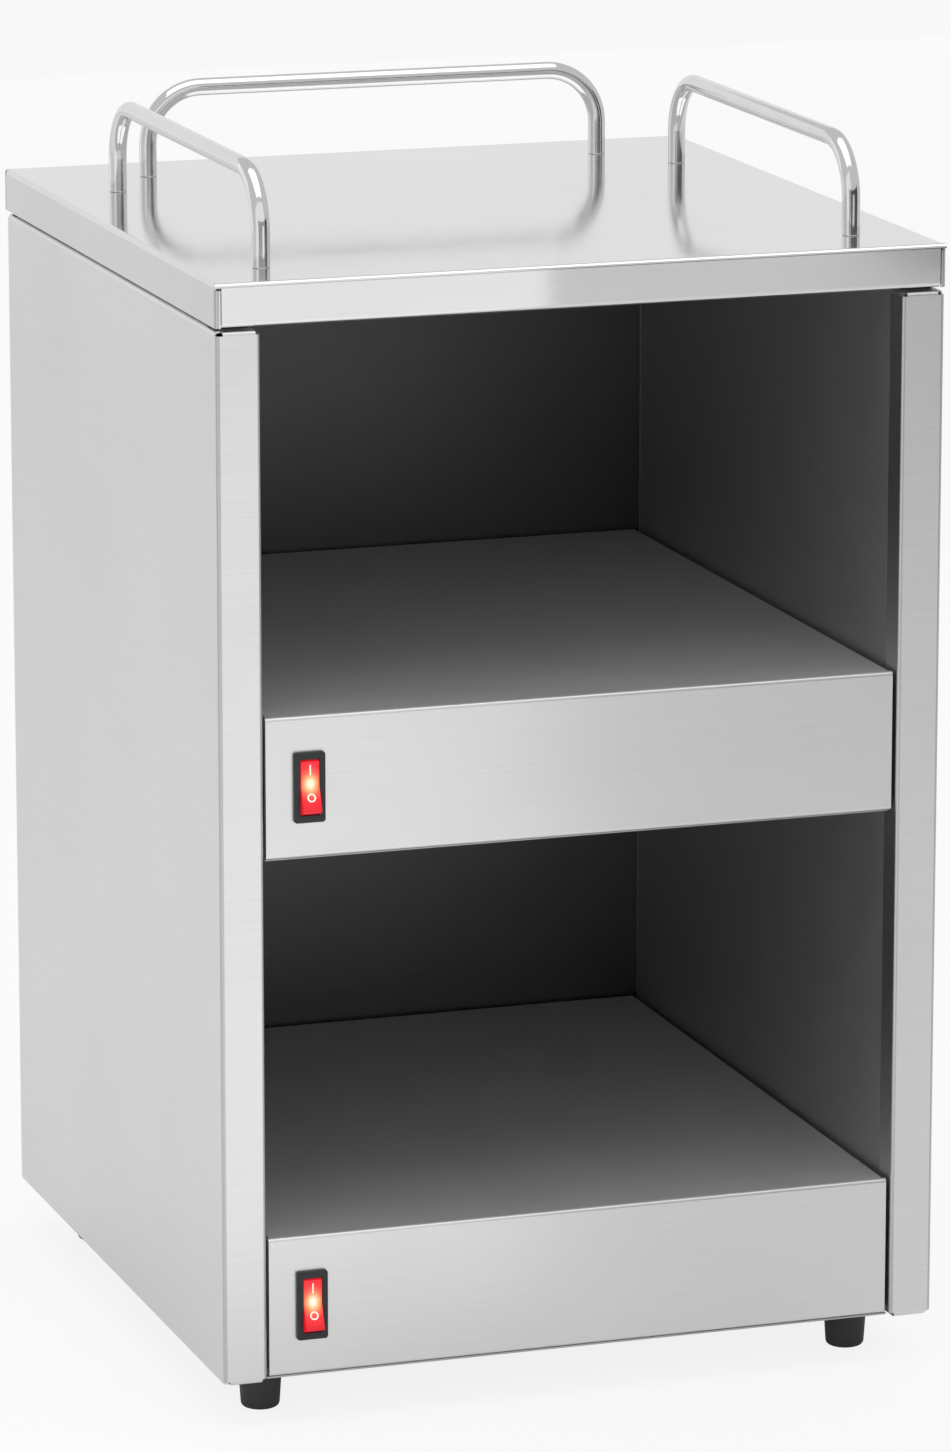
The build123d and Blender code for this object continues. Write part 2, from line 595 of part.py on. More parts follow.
def shelf(bottom):
    """A heated shelf: one folded sheet with a tall fascia, flanges, a switch cut-out and weld studs."""
    top = shelf_top(bottom)
    path = [
        (FASCIA_FACE + SHELF_FRONT_RETURN, bottom),
        (FASCIA_FACE, bottom),
        (FASCIA_FACE, top),
        (SHELF_REAR, top),
        (SHELF_REAR, bottom),
        (SHELF_REAR - SHELF_REAR_RETURN, bottom),
    ]
    sheet = along_x(sheet_section(path, RIGHT), -SHELF_HALF, SHELF_HALF)
    strip = SHELF_HALF - BEND_OUTER
    flange_front = FASCIA_FACE + BEND_OUTER + RELIEF
    for side in (-1, 1):
        sheet -= block(
            (side * strip, side * (SHELF_HALF + PAST)),
            (flange_front - RELIEF, SHELF_REAR + PAST),
            (bottom - PAST, top + PAST),
        )
        side_path = [
            (side * (strip - SKIN), top),
            (side * SHELF_HALF, top),
            (side * SHELF_HALF, bottom + SEAT_GAP),
        ]
        metal = RIGHT if side > 0 else LEFT
        sheet += along_y(sheet_section(side_path, metal), flange_front, SHELF_REAR - BEND_OUTER - RELIEF)
    sheet -= Pos(SWITCH_X, FASCIA_FACE, switch_level(bottom)) * Box(
        SWITCH_BODY_WIDTH + 2 * SWITCH_CUTOUT_GAP, DRILL_DEPTH, SWITCH_BODY_HEIGHT + 2 * SWITCH_CUTOUT_GAP
    )
    sheet = drilled(sheet, [(*spot, bottom) for spot in RETURN_SCREW_SPOTS], M4)
    sheet = drilled(sheet, shelf_screw_spots(bottom), M4 + HOLE_GAP, HEAD_LEFT)
    sheet = drilled(sheet, mirrored_spots(shelf_screw_spots(bottom)), M4 + HOLE_GAP, HEAD_LEFT)
    wire_hole = (-SHELF_HALF, GROMMET_PLACE, bottom + GROMMET_RISE)
    sheet = drilled(sheet, [wire_hole], GROMMET_HOLE_RADIUS + GROMMET_LIP, HEAD_LEFT)
    clamp_stud = Cylinder(M4, STUD_LENGTH, align=HANGING)
    control_stud = Cylinder(M3, STUD_LENGTH, align=HANGING)
    studs = [copies(clamp_stud, clamp_stud_spots(bottom)), copies(control_stud, control_stud_spots(bottom))]
    return sheet + studs


def gland_notch():
    """What is cut from the lower shelf's rear flange round the cord gland."""
    x, _, level = GLAND_SPOT
    return block(
        (x - GLAND_NOTCH, x + GLAND_NOTCH),
        (SHELF_REAR - SHELF_REAR_RETURN - PAST, SHELF_REAR + PAST),
        (BASE_TOP - PAST, level + GLAND_NOTCH),
    )


def shelf_underside():
    """The plate under the upper shelf's heater bay."""
    half = SHELF_HALF - RELIEF
    plate = block(
        (-half, half),
        (FASCIA_FACE + UNDERSIDE_SETBACK, SHELF_REAR - RELIEF),
        (UPPER_SHELF_BOTTOM - SKIN, UPPER_SHELF_BOTTOM),
    )
    return drilled(plate, [(*spot, UPPER_SHELF_BOTTOM) for spot in RETURN_SCREW_SPOTS], M4 + HOLE_GAP)


def rail(ends):
    """A gallery rail: one round rod bent down to the cover at both ends, with a tapped hole in each end."""
    first, last = ends
    route = FilletPolyline(
        (*first, COVER_TOP), (*first, RAIL_AXIS), (*last, RAIL_AXIS), (*last, COVER_TOP), radius=RAIL_BEND
    )
    rod = sweep(Plane(origin=(*first, COVER_TOP), z_dir=(0, 0, 1)) * Circle(RAIL_ROD / 2), path=route)
    return drilled(rod, [(*end, COVER_TOP) for end in ends], M5, depth=2 * RAIL_THREAD_DEPTH)


def foot():
    """A tapered rubber foot standing on Z = 0, recessed below for its screw."""
    outline = [
        (0, 0),
        (FOOT_BOTTOM_RADIUS, 0),
        (FOOT_TOP_RADIUS, BASE_BOTTOM),
        (0, BASE_BOTTOM),
    ]
    body = revolve(Plane.XZ * Polygon(*outline, align=None), Axis.Z)
    body = fillet(body.edges().group_by(Axis.Z)[0], FOOT_EDGE)
    body -= Cylinder(FOOT_RECESS_RADIUS, 2 * FOOT_RECESS_DEPTH)
    return body - Cylinder(M4 + HOLE_GAP, 3 * BASE_BOTTOM)


def switch_level(bottom):
    """Level of a switch's centre: the middle of its fascia."""
    return bottom + FASCIA_HEIGHT / 2


def switch_pivot(bottom):
    """Where the middle of a rocker's trunnions lies."""
    return Pos(SWITCH_X, PIVOT_Y, switch_level(bottom))


def rocker_section(radius, face, skirt):
    """Section of a rocker about its pivot: an arc at each end, and two flats that meet in front."""
    lean = tan(radians(ROCKER_TRAVEL / 2))
    reach = 2 * radius
    flats = Polygon(
        (-face, 0),
        (-face - reach * lean, -reach),
        (skirt, -reach),
        (skirt, reach),
        (-face - reach * lean, reach),
        align=None,
    )
    return Circle(radius) & flats


def rocker_face():
    """Distance from the pivot to the crease of the rocker's face."""
    return PIVOT_DEPTH + BEZEL_THICKNESS + ROCKER_PROUD


def switch_rocker(bottom):
    """The hollow rocker with its trunnions, tilted to ON: its upper end pressed in."""
    half = ROCKER_WIDTH / 2
    rocker = along_x(rocker_section(ROCKER_RADIUS, rocker_face(), ROCKER_SKIRT), -half, half)
    rocker -= along_x(
        rocker_section(ROCKER_RADIUS - ROCKER_WALL, rocker_face() - ROCKER_WALL, 2 * ROCKER_SKIRT),
        -half + ROCKER_WALL,
        half - ROCKER_WALL,
    )
    for side in (-1, 1):
        pin = Rot(0, 90, 0) * Cylinder(TRUNNION_RADIUS, TRUNNION_LENGTH)
        rocker += Pos(side * (half + TRUNNION_LENGTH / 2), 0, 0) * pin
    return switch_pivot(bottom) * Rot(-ROCKER_TRAVEL / 2, 0, 0) * rocker


def switch_well_floor():
    """How far behind the fascia's face the floor of the switch's well lies."""
    return PIVOT_DEPTH + ROCKER_SKIRT + ROCKER_RADIUS * tan(radians(ROCKER_TRAVEL / 2)) + ROCKER_BACK_GAP


def blade_levels(bottom):
    """Levels of a switch's three blades."""
    middle = switch_level(bottom)
    return [middle - BLADE_PITCH, middle, middle + BLADE_PITCH]


def switch_housing(bottom):
    """The moulded housing: bezel, body with snap clips, rocker well, pivot sockets and blade slots."""
    level = switch_level(bottom)
    width, height = SWITCH_BODY_WIDTH + 2 * BEZEL_SIDE_LAP, SWITCH_BODY_HEIGHT + 2 * BEZEL_END_LAP
    bezel = along_y(RectangleRounded(width, height, BEZEL_CORNER), BEZEL_FRONT, FASCIA_FACE)
    bezel = chamfer(bezel.faces().sort_by(Axis.Y)[0].edges(), BEZEL_EDGE)
    half_width = SWITCH_BODY_WIDTH / 2
    half_height = SWITCH_BODY_HEIGHT / 2
    body = along_y(Rectangle(SWITCH_BODY_WIDTH, SWITCH_BODY_HEIGHT), FASCIA_FACE - PAST, SWITCH_BACK)
    clip_front = FASCIA_FACE + SKIN + TRUNNION_GAP
    for end in (-1, 1):
        wedge = Polygon(
            (clip_front, end * (half_height - PAST)),
            (clip_front, end * (half_height + SWITCH_CLIP)),
            (clip_front + SWITCH_CLIP_LENGTH, end * (half_height - PAST)),
            align=None,
        )
        body += along_x(wedge, -half_width / 2, half_width / 2)
    half_well = ROCKER_WIDTH / 2 + ROCKER_GAP
    half_opening = ROCKER_RADIUS + ROCKER_GAP
    well = block(
        (-half_well, half_well),
        (BEZEL_FRONT - PAST, FASCIA_FACE + switch_well_floor()),
        (-half_opening, half_opening),
    )
    socket_length = 2 * (ROCKER_WIDTH / 2 + TRUNNION_LENGTH + TRUNNION_END_GAP)
    sockets = Pos(0, PIVOT_Y, 0) * Rot(0, 90, 0) * Cylinder(TRUNNION_RADIUS + TRUNNION_GAP, socket_length)
    housing = Pos(SWITCH_X, 0, level) * (bezel + body - well - sockets)
    slot = Box(
        BLADE_WIDTH + 2 * TRUNNION_GAP, 2 * (BLADE_SOCKET + TRUNNION_GAP), BLADE_THICKNESS + 2 * TRUNNION_GAP
    )
    slot_spots = [(SWITCH_X, SWITCH_BACK, blade_level) for blade_level in blade_levels(bottom)]
    return housing - copies(slot, slot_spots)


def switch_lamp(bottom):
    """The glow lamp lying on the floor of the well, behind the rocker."""
    lamp_y = FASCIA_FACE + switch_well_floor() - LAMP_RADIUS - TRUNNION_GAP
    place = Pos(SWITCH_X, lamp_y, switch_level(bottom))
    return place * Cylinder(LAMP_RADIUS, LAMP_LENGTH)


def switch_terminals(bottom):
    """The three blades behind a switch."""
    ys = (SWITCH_BACK - BLADE_SOCKET, SWITCH_BACK + BLADE_REACH)
    blades = []
    for level in blade_levels(bottom):
        zs = (level - BLADE_THICKNESS / 2, level + BLADE_THICKNESS / 2)
        blades.append(block((SWITCH_X - BLADE_WIDTH / 2, SWITCH_X + BLADE_WIDTH / 2), ys, zs))
    return Part() + blades


def layer(bottom, upper_face, thickness):
    """A heater layer the size of the mat, windowed for the two controls."""
    sheet = along_z(Rectangle(2 * MAT_HALF_LENGTH, 2 * MAT_HALF_DEPTH), upper_face - thickness, upper_face)
    for x, y, _ in control_spots(bottom):
        sheet -= Pos(x, y, upper_face) * Box(WINDOW_LENGTH, WINDOW_DEPTH, 3 * thickness)
    return sheet


def heating_mat(bottom):
    """The silicone heating mat against the shelf's underside, with the patch that its leads come out of."""
    under = shelf_top(bottom) - SKIN
    length, depth, height = LEAD_PATCH
    patch = Pos(LEAD_PATCH_PLACE, -MAT_HALF_DEPTH, under) * Box(
        length, depth, height, align=(Align.CENTER, Align.MAX, Align.MAX)
    )
    return layer(bottom, under, MAT_THICKNESS) + patch


def insulation_pad(bottom):
    """The fibre pad below the mat."""
    return layer(bottom, shelf_top(bottom) - SKIN - MAT_THICKNESS, PAD_THICKNESS)


def clamp_bars(bottom):
    """The two folded bars that hold pad and mat up against the shelf."""
    under = shelf_top(bottom) - SKIN
    low = under - MAT_THICKNESS - PAD_THICKNESS
    foot_edge = STUD_X + CLAMP_FOOT / 2
    leg = MAT_HALF_LENGTH + CLAMP_LEG_GAP
    path = [(-foot_edge, under), (-leg, under), (-leg, low), (leg, low), (leg, under), (foot_edge, under)]
    section = sheet_section(path, RIGHT, CLAMP_SHEET)
    middles = (-CLAMP_SPACING / 2, CLAMP_SPACING / 2)
    bars = Part() + [along_y(section, y - CLAMP_WIDTH / 2, y + CLAMP_WIDTH / 2) for y in middles]
    return drilled(bars, clamp_stud_spots(bottom), M4 + HOLE_GAP)


def clamp_nuts(bottom):
    """Nuts on the clamp bars' studs."""
    spots = [(x, y, z - CLAMP_SHEET) for x, y, z in clamp_stud_spots(bottom)]
    return copies(hex_nut(M4 + THREAD_GAP), spots, HEAD_DOWN)


def control_nuts(bottom):
    """Nuts on the studs of the thermostat and the thermal cut-out."""
    spots = [(x, y, z - EAR_SHEET) for x, y, z in control_stud_spots(bottom)]
    return copies(hex_nut(M3 + THREAD_GAP), spots, HEAD_DOWN)


def bimetal_control(spot, radius, height):
    """A bimetal control: disc body, mounting ears against the shelf and two blades."""
    ears = Pos(0, 0, -EAR_SHEET / 2) * Box(EAR_SPACING + EAR_WIDTH, EAR_WIDTH, EAR_SHEET)
    ears = drilled(ears, [(-EAR_SPACING / 2, 0, 0), (EAR_SPACING / 2, 0, 0)], M3 + THREAD_GAP)
    body = Cylinder(radius, height, align=HANGING)
    blade = Box(BLADE_WIDTH, BLADE_THICKNESS, BLADE_REACH, align=HANGING)
    blades = copies(blade, [(0, -radius / 2, -height), (0, radius / 2, -height)])
    return Pos(*spot) * (ears + body + blades)


def terminal_block():
    """The supply terminals on the base: a moulded strip with a screw well at each end of each pole."""
    length, depth, height = TERMINAL_BLOCK
    strip = Box(length, depth, height, align=STANDING)
    pitch = length / TERMINAL_POLES
    pole_xs = spread(TERMINAL_POLES, -pitch, pitch)
    well_spots = [(x, y, height) for x in pole_xs for y in (-depth / 4, depth / 4)]
    strip = drilled(strip, well_spots, TERMINAL_WELL_RADIUS, depth=2 * TERMINAL_WELL_DEPTH)
    for x in (-pitch / 2, pitch / 2):
        strip -= Pos(x, 0, height) * Box(TERMINAL_GROOVE, 2 * depth, 2 * TERMINAL_WELL_DEPTH)
    return Pos(TERMINAL_BLOCK_X, TERMINAL_BLOCK_Y, BASE_TOP) * strip


def earth_stud():
    """The earth stud on the base with its nut."""
    stud = Cylinder(M5, EARTH_STUD_LENGTH, align=STANDING)
    nut = Pos(0, 0, WASHER_SHEET) * hex_nut(M5 + THREAD_GAP)
    place = Pos(TERMINAL_BLOCK_X + EARTH_STUD_SPACING, TERMINAL_BLOCK_Y, BASE_TOP)
    return place * (Part() + [stud, nut, washer(M5)])


def cord_gland():
    """The cord gland: a domed clamping nut outside, a threaded tail through the panel, bored for the cord."""
    flange = extrude(RegularPolygon(GLAND_HEX_RADIUS, 6), GLAND_HEX_HEIGHT)
    dome = Cylinder(GLAND_DOME_RADIUS, GLAND_REACH, align=STANDING)
    dome = chamfer(dome.edges().group_by(Axis.Z)[-1], GLAND_DOME_CHAMFER)
    tail = Cylinder(GLAND_THREAD_RADIUS, GLAND_TAIL, align=HANGING)
    bore = Cylinder(GLAND_BORE_RADIUS, 2 * (GLAND_REACH + GLAND_TAIL))
    return Pos(*GLAND_SPOT) * HEAD_BACK * (flange + dome + tail - bore)


def gland_locknut():
    """The nut that holds the gland from inside."""
    nut = extrude(RegularPolygon(GLAND_HEX_RADIUS, 6), GLAND_LOCKNUT_HEIGHT)
    nut -= Cylinder(GLAND_THREAD_RADIUS + THREAD_GAP, 3 * GLAND_LOCKNUT_HEIGHT)
    return Pos(*GLAND_SPOT) * HEAD_BACK * Pos(0, 0, -SKIN - GLAND_LOCKNUT_HEIGHT) * nut


def wire_grommets():
    """Rubber grommets in the wire holes of the left inner wall."""
    lip = Cylinder(GROMMET_HOLE_RADIUS + GROMMET_LIP, GROMMET_LIP, align=STANDING)
    neck = Cylinder(GROMMET_HOLE_RADIUS - THREAD_GAP, SKIN, align=HANGING)
    ring = Pos(0, 0, SKIN) * lip + Pos(0, 0, SKIN) * neck
    ring += mirror(Pos(0, 0, SKIN / 2) * lip, about=Plane.XY).moved(Pos(0, 0, SKIN / 2))
    ring -= Cylinder(GROMMET_BORE_RADIUS, DRILL_DEPTH)
    return copies(ring, grommet_spots(), HEAD_LEFT)


def wire(points, radius=WIRE_RADIUS):
    """A wire or sleeved harness of few faces, along straight runs joined by tangent arcs."""
    start = Plane(origin=points[0], z_dir=Vector(*points[1]) - Vector(*points[0]))
    return sweep(start * RegularPolygon(radius, WIRE_SIDES), path=FilletPolyline(*points, radius=WIRE_BEND))


def blade_sleeve(tip, turn):
    """The push-on connector of a wire, on a blade whose tip is given."""
    gap = 2 * TRUNNION_GAP
    sleeve = Pos(0, 0, SLEEVE_OVERHANG) * Box(*SLEEVE, align=HANGING)
    slot = Box(BLADE_WIDTH + gap, BLADE_THICKNESS + gap, 4 * SLEEVE[2], align=HANGING)
    return Pos(*tip) * turn * (sleeve - Pos(0, 0, TRUNNION_GAP) * slot)


def control_tips(spot, radius, height):
    """Tips of a control's two blades, the front one first."""
    x, y, z = spot
    return [(x, y + side * radius / 2, z - height - BLADE_REACH) for side in (-1, 1)]


def bay_wiring(bottom, feed, drain):
    """Wires of one heater bay: from the feed to switch, thermostat, cut-out and mat, and to the drain."""
    level = switch_level(bottom)
    lead_level = shelf_top(bottom) - SKIN - LEAD_PATCH[2] / 2
    lead_y = -MAT_HALF_DEPTH - LEAD_PATCH[1]
    lead_turn_y = lead_y - LEAD_RUN
    lead_out_x = LEAD_PATCH_PLACE + LEAD_SPACING / 2
    lead_back_x = LEAD_PATCH_PLACE - LEAD_SPACING / 2
    thermostat_spot, cutout_spot = control_spots(bottom)
    thermostat_tips = control_tips(thermostat_spot, THERMOSTAT_RADIUS, THERMOSTAT_HEIGHT)
    cutout_tips = control_tips(cutout_spot, CUTOUT_RADIUS, CUTOUT_HEIGHT)
    switch_tips = [(SWITCH_X, BLADE_TIP_Y, z) for z in blade_levels(bottom)]
    ends = [(x, y, z - SLEEVE_OVERHANG) for x, y, z in thermostat_tips + cutout_tips]
    start_y = BLADE_TIP_Y + SLEEVE_OVERHANG
    turn_y = start_y + SWITCH_RUN
    live = [
        *feed,
        (HARNESS_END, turn_y + LIVE_RUN, bottom + FLOOR_LAYER),
        (SWITCH_X, turn_y, level),
        (SWITCH_X, start_y, level),
    ]
    switched = [
        (SWITCH_X, start_y, level + BLADE_PITCH),
        (SWITCH_X, turn_y, level + BLADE_PITCH),
        (SWITCH_X + SWITCHED_RUN[0], turn_y + SWITCHED_RUN[1], bottom + SWITCHED_LAYER),
        (*ends[0][:2], bottom + SWITCHED_LAYER),
        ends[0],
    ]
    bridge = [
        ends[1],
        (*ends[1][:2], bottom + BRIDGE_LAYER),
        (*ends[3][:2], bottom + BRIDGE_LAYER),
        ends[3],
    ]
    out = [
        ends[2],
        (*ends[2][:2], bottom + OUT_LAYER),
        (lead_out_x, lead_y + OUT_RUN, bottom + OUT_LAYER),
        (lead_out_x, lead_turn_y, bottom + LEAD_LAYER),
        (lead_out_x, lead_turn_y, lead_level),
        (lead_out_x, lead_y, lead_level),
    ]
    back = [
        (lead_back_x, lead_y, lead_level),
        (lead_back_x, lead_turn_y, lead_level),
        (lead_back_x, lead_turn_y, bottom + SWITCHED_LAYER),
        (lead_back_x - DRAIN_RUN[0], lead_y + DRAIN_RUN[1], bottom + FLOOR_LAYER),
        *drain,
    ]
    wires = [wire(route) for route in (live, switched, bridge, out, back)]
    sleeves = [blade_sleeve(tip, HEAD_BACK) for tip in switch_tips[1:]]
    sleeves += [blade_sleeve(tip, HEAD_DOWN) for tip in thermostat_tips + cutout_tips]
    return Part() + wires + sleeves


def pole_front(pole, layer_rise):
    """Where a wire meets the front of a pole; the poles are -1, 0 and 1 from left to right."""
    x = TERMINAL_BLOCK_X + pole * TERMINAL_BLOCK[0] / TERMINAL_POLES
    return (x, TERMINAL_BLOCK_Y - TERMINAL_BLOCK[1] / 2, BASE_TOP + layer_rise)


def lower_wiring():
    """The lower bay's wires, fed from the terminal block."""
    x, y, level = pole_front(-1, FLOOR_LAYER)
    feed = [(x, y, level), (x, y - LOWER_FEED_RUNS[0], level), (HARNESS_END, y - LOWER_FEED_RUNS[1], level)]
    x, y, level = pole_front(1, FLOOR_LAYER)
    drain = [(x, y - LOWER_DRAIN_RUN, level), (x, y, level)]
    return bay_wiring(BASE_TOP, feed, drain)


def supply_lead(pole, runs, place):
    """A lead from a pole of the terminal block into the lower end of the harness."""
    x, y, level = pole_front(pole, SUPPLY_LAYER)
    harness_level = BASE_TOP + GROMMET_RISE
    return wire([
        (x, y, level),
        (x, y - runs[0], level),
        (HARNESS_END + runs[1], place, harness_level),
        (HARNESS_END, place, harness_level),
    ])


def upper_wiring():
    """The harness up the left hollow, the leads into it, and the upper bay's wires out of it."""
    lower_level, upper_level = [bottom + GROMMET_RISE for bottom in SHELF_BOTTOMS.values()]
    near, far = GROMMET_PLACE - WIRE_PITCH / 2, GROMMET_PLACE + WIRE_PITCH / 2
    low = UPPER_SHELF_BOTTOM + FLOOR_LAYER
    harness = [
        (HARNESS_END, GROMMET_PLACE, lower_level),
        (-HOLLOW_X, GROMMET_PLACE, lower_level),
        (-HOLLOW_X, GROMMET_PLACE, upper_level),
        (HARNESS_END, GROMMET_PLACE, upper_level),
    ]
    feed = [
        (HARNESS_END, near, upper_level),
        (HARNESS_END + UPPER_FEED_RUN[0], near, upper_level),
        (HARNESS_END + UPPER_FEED_RUN[0], near - UPPER_FEED_RUN[1], low),
    ]
    drain = [
        (HARNESS_END + UPPER_DRAIN_RUNS[1], far - UPPER_DRAIN_RUNS[2], low),
        (HARNESS_END + UPPER_DRAIN_RUNS[0], far, upper_level),
        (HARNESS_END, far, upper_level),
    ]
    leads = [
        wire(harness, HARNESS_RADIUS),
        supply_lead(-1, LIVE_SUPPLY_RUNS, far),
        supply_lead(1, NEUTRAL_SUPPLY_RUNS, near),
    ]
    return bay_wiring(UPPER_SHELF_BOTTOM, feed, drain) + leads


def foot_screws():
    """Screws up through the feet into the nuts on the base plate."""
    length = BASE_TOP - FOOT_RECESS_DEPTH + NUT_HEIGHT_RATIO * M4 + SCREW_POINT
    spots = [(*spot, FOOT_RECESS_DEPTH) for spot in FOOT_SPOTS.values()]
    return copies(pan_screw(M4, length), spots, HEAD_DOWN)


def shelf_side_screws():
    """Screws from the hollows through the inner walls into the shelves' side flanges."""
    length = WALL_FACE - SHELF_HALF + 2 * SKIN + NUT_HEIGHT_RATIO * M4 + SCREW_POINT
    group = Part()
    for bottom in SHELF_BOTTOMS.values():
        heads = [(-WALL_FACE - SKIN, y, z) for _, y, z in shelf_screw_spots(bottom)]
        group += copies(pan_screw(M4, length), heads, HEAD_LEFT)
        group += copies(pan_screw(M4, length), mirrored_spots(heads), HEAD_RIGHT)
    return group


def shelf_side_spacers():
    """Spacers between the inner walls and the shelves' side flanges."""
    gap = WALL_FACE - SHELF_HALF
    ring = Cylinder(WASHER_RATIO * M4, gap, align=STANDING)
    ring -= Cylinder(M4 + HOLE_GAP, 4 * gap)
    group = Part()
    for bottom in SHELF_BOTTOMS.values():
        group += copies(ring, shelf_screw_spots(bottom), HEAD_LEFT)
        group += copies(ring, mirrored_spots(shelf_screw_spots(bottom)), HEAD_RIGHT)
    return group


def shelf_side_nuts():
    """Nuts inside the shelves' side flanges."""
    group = Part()
    for bottom in SHELF_BOTTOMS.values():
        seats = [(x + SKIN, y, z) for x, y, z in shelf_screw_spots(bottom)]
        group += copies(hex_nut(M4), seats, HEAD_RIGHT)
        group += copies(hex_nut(M4), mirrored_spots(seats), HEAD_LEFT)
    return group


def write(name, part):
    """Writes one node's file."""
    export_step(part, os.path.join("parts", name + ".step"))


def main():
    os.makedirs("parts", exist_ok=True)

    left_panel = side_panel()
    write("left_side_panel", left_panel)
    write("right_side_panel", mirror(left_panel, about=Plane.YZ))
    write("left_inner_wall", inner_wall(-1))
    write("right_inner_wall", inner_wall(1))
    write("back_panel", back_panel())
    write("base_plate", base_plate())
    write("top_cover", top_cover())
    write("ceiling_tray", ceiling_tray())
    write("upper_shelf_underside", shelf_underside())

    for name, ends in RAIL_ENDS.items():
        write(name, rail(ends))
    for name, spot in FOOT_SPOTS.items():
        write(name, Pos(*spot) * foot())

    for tier, bottom in SHELF_BOTTOMS.items():
        thermostat_spot, cutout_spot = control_spots(bottom)
        write(tier + "_shelf", shelf(bottom) - gland_notch())
        write(tier + "_heating_mat", heating_mat(bottom))
        write(tier + "_insulation_pad", insulation_pad(bottom))
        write(tier + "_clamp_bars", clamp_bars(bottom))
        write(tier + "_clamp_nuts", clamp_nuts(bottom))
        write(tier + "_thermostat", bimetal_control(thermostat_spot, THERMOSTAT_RADIUS, THERMOSTAT_HEIGHT))
        write(tier + "_thermal_cutout", bimetal_control(cutout_spot, CUTOUT_RADIUS, CUTOUT_HEIGHT))
        write(tier + "_control_nuts", control_nuts(bottom))
        write(tier + "_switch_housing", switch_housing(bottom))
        write(tier + "_switch_rocker", switch_rocker(bottom))
        write(tier + "_switch_lamp", switch_lamp(bottom))
        write(tier + "_switch_terminals", switch_terminals(bottom))

    write("terminal_block", terminal_block())
    write("earth_stud", earth_stud())
    write("cord_gland", cord_gland())
    write("gland_locknut", gland_locknut())
    write("wire_grommets", wire_grommets())
    write("lower_wiring", lower_wiring())
    write("upper_wiring", upper_wiring())

    sheet_screw = pan_screw(M4, SCREW_REACH)
    base_return = [(*spot, BASE_BOTTOM) for spot in RETURN_SCREW_SPOTS]
    underside_return = [(*spot, UPPER_SHELF_BOTTOM - SKIN) for spot in RETURN_SCREW_SPOTS]
    write("cover_screws", copies(sheet_screw, COVER_SCREW_SPOTS, HEAD_BACK))
    write("back_panel_screws", copies(sheet_screw, BACK_SCREW_SPOTS, HEAD_BACK))
    write("base_screws", copies(sheet_screw, BASE_SCREW_SPOTS, HEAD_DOWN))
    write("lower_shelf_screws", copies(sheet_screw, base_return, HEAD_DOWN))
    write("underside_screws", copies(sheet_screw, underside_return, HEAD_DOWN))
    write("ceiling_rivets", copies(pan_screw(M3, RIVET_TAIL), CEILING_RIVET_SPOTS))
    washer_seats = [(x, y, COVER_UNDER - WASHER_SHEET) for x, y, _ in RAIL_SPOTS]
    write("rail_washers", copies(washer(M5), washer_seats))
    screw_length = WASHER_SHEET + COVER_SHEET + RAIL_SCREW_REACH
    write("rail_screws", copies(hex_screw(M5, screw_length), washer_seats, HEAD_DOWN))
    write("foot_screws", foot_screws())
    write("foot_nuts", copies(hex_nut(M4), [(*spot, BASE_TOP) for spot in FOOT_SPOTS.values()]))
    write("shelf_side_screws", shelf_side_screws())
    write("shelf_side_spacers", shelf_side_spacers())
    write("shelf_side_nuts", shelf_side_nuts())


main()
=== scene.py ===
"""The looks of a counter cup warmer: brushed stainless sheet, polished rails and two lit rocker switches."""

import logging
import math
from collections.abc import Callable
from dataclasses import dataclass, field
from enum import Enum

import bpy
from mathutils import Matrix, Vector


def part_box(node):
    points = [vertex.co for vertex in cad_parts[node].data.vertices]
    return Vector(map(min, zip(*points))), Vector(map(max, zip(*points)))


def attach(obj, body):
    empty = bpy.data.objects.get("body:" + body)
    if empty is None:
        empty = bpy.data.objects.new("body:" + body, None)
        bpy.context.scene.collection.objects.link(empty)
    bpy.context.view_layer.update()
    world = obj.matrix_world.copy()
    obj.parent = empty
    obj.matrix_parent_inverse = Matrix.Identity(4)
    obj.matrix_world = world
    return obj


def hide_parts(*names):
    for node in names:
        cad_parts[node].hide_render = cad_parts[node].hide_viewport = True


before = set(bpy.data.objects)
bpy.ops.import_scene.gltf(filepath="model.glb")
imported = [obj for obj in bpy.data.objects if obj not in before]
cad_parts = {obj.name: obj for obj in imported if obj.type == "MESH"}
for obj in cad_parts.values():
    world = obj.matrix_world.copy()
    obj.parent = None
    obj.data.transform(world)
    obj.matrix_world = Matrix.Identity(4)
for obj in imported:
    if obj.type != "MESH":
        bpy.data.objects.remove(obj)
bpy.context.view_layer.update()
MM = 0.001
UP = Vector((0.0, 0.0, 1.0))
RIGHT = Vector((1.0, 0.0, 0.0))
BACKWARDS = Vector((0.0, 1.0, 0.0))
QUARTER = math.radians(90.0)
LOG = logging.getLogger("cup_warmer")

# How near to a plane an edge or a face lies in it, and how near two points are one.
NEAR = 0.01 * MM
MERGE = 0.001 * MM
# The part of a direction along an axis from which it counts as along it, for faces and for edges,
# and below which it counts as across it.
FACING = 0.99
ALONG = 0.9
ACROSS = 0.1
# The middle of a noise that runs from 0 to 1, and of a yes or no.
HALF = 0.5
# A Mix node's two colour inputs and its colour output.
MIX_FIRST = 6
MIX_SECOND = 7
MIX_RESULT = 2

WHITE = (1.0, 1.0, 1.0, 1.0)
UNTURNED = (0.0, 0.0, 0.0)

Colour = tuple[float, float, float]
Place = tuple[float, float, float]
Piece = bpy.types.Object
Socket = bpy.types.NodeSocket
Material = bpy.types.Material
Test = Callable[[Vector, Vector], bool]


class Grain(Enum):
    """How the lines of a brushed sheet run."""

    LEVEL = "level"
    COVER = "cover"
    UPRIGHT = "upright"


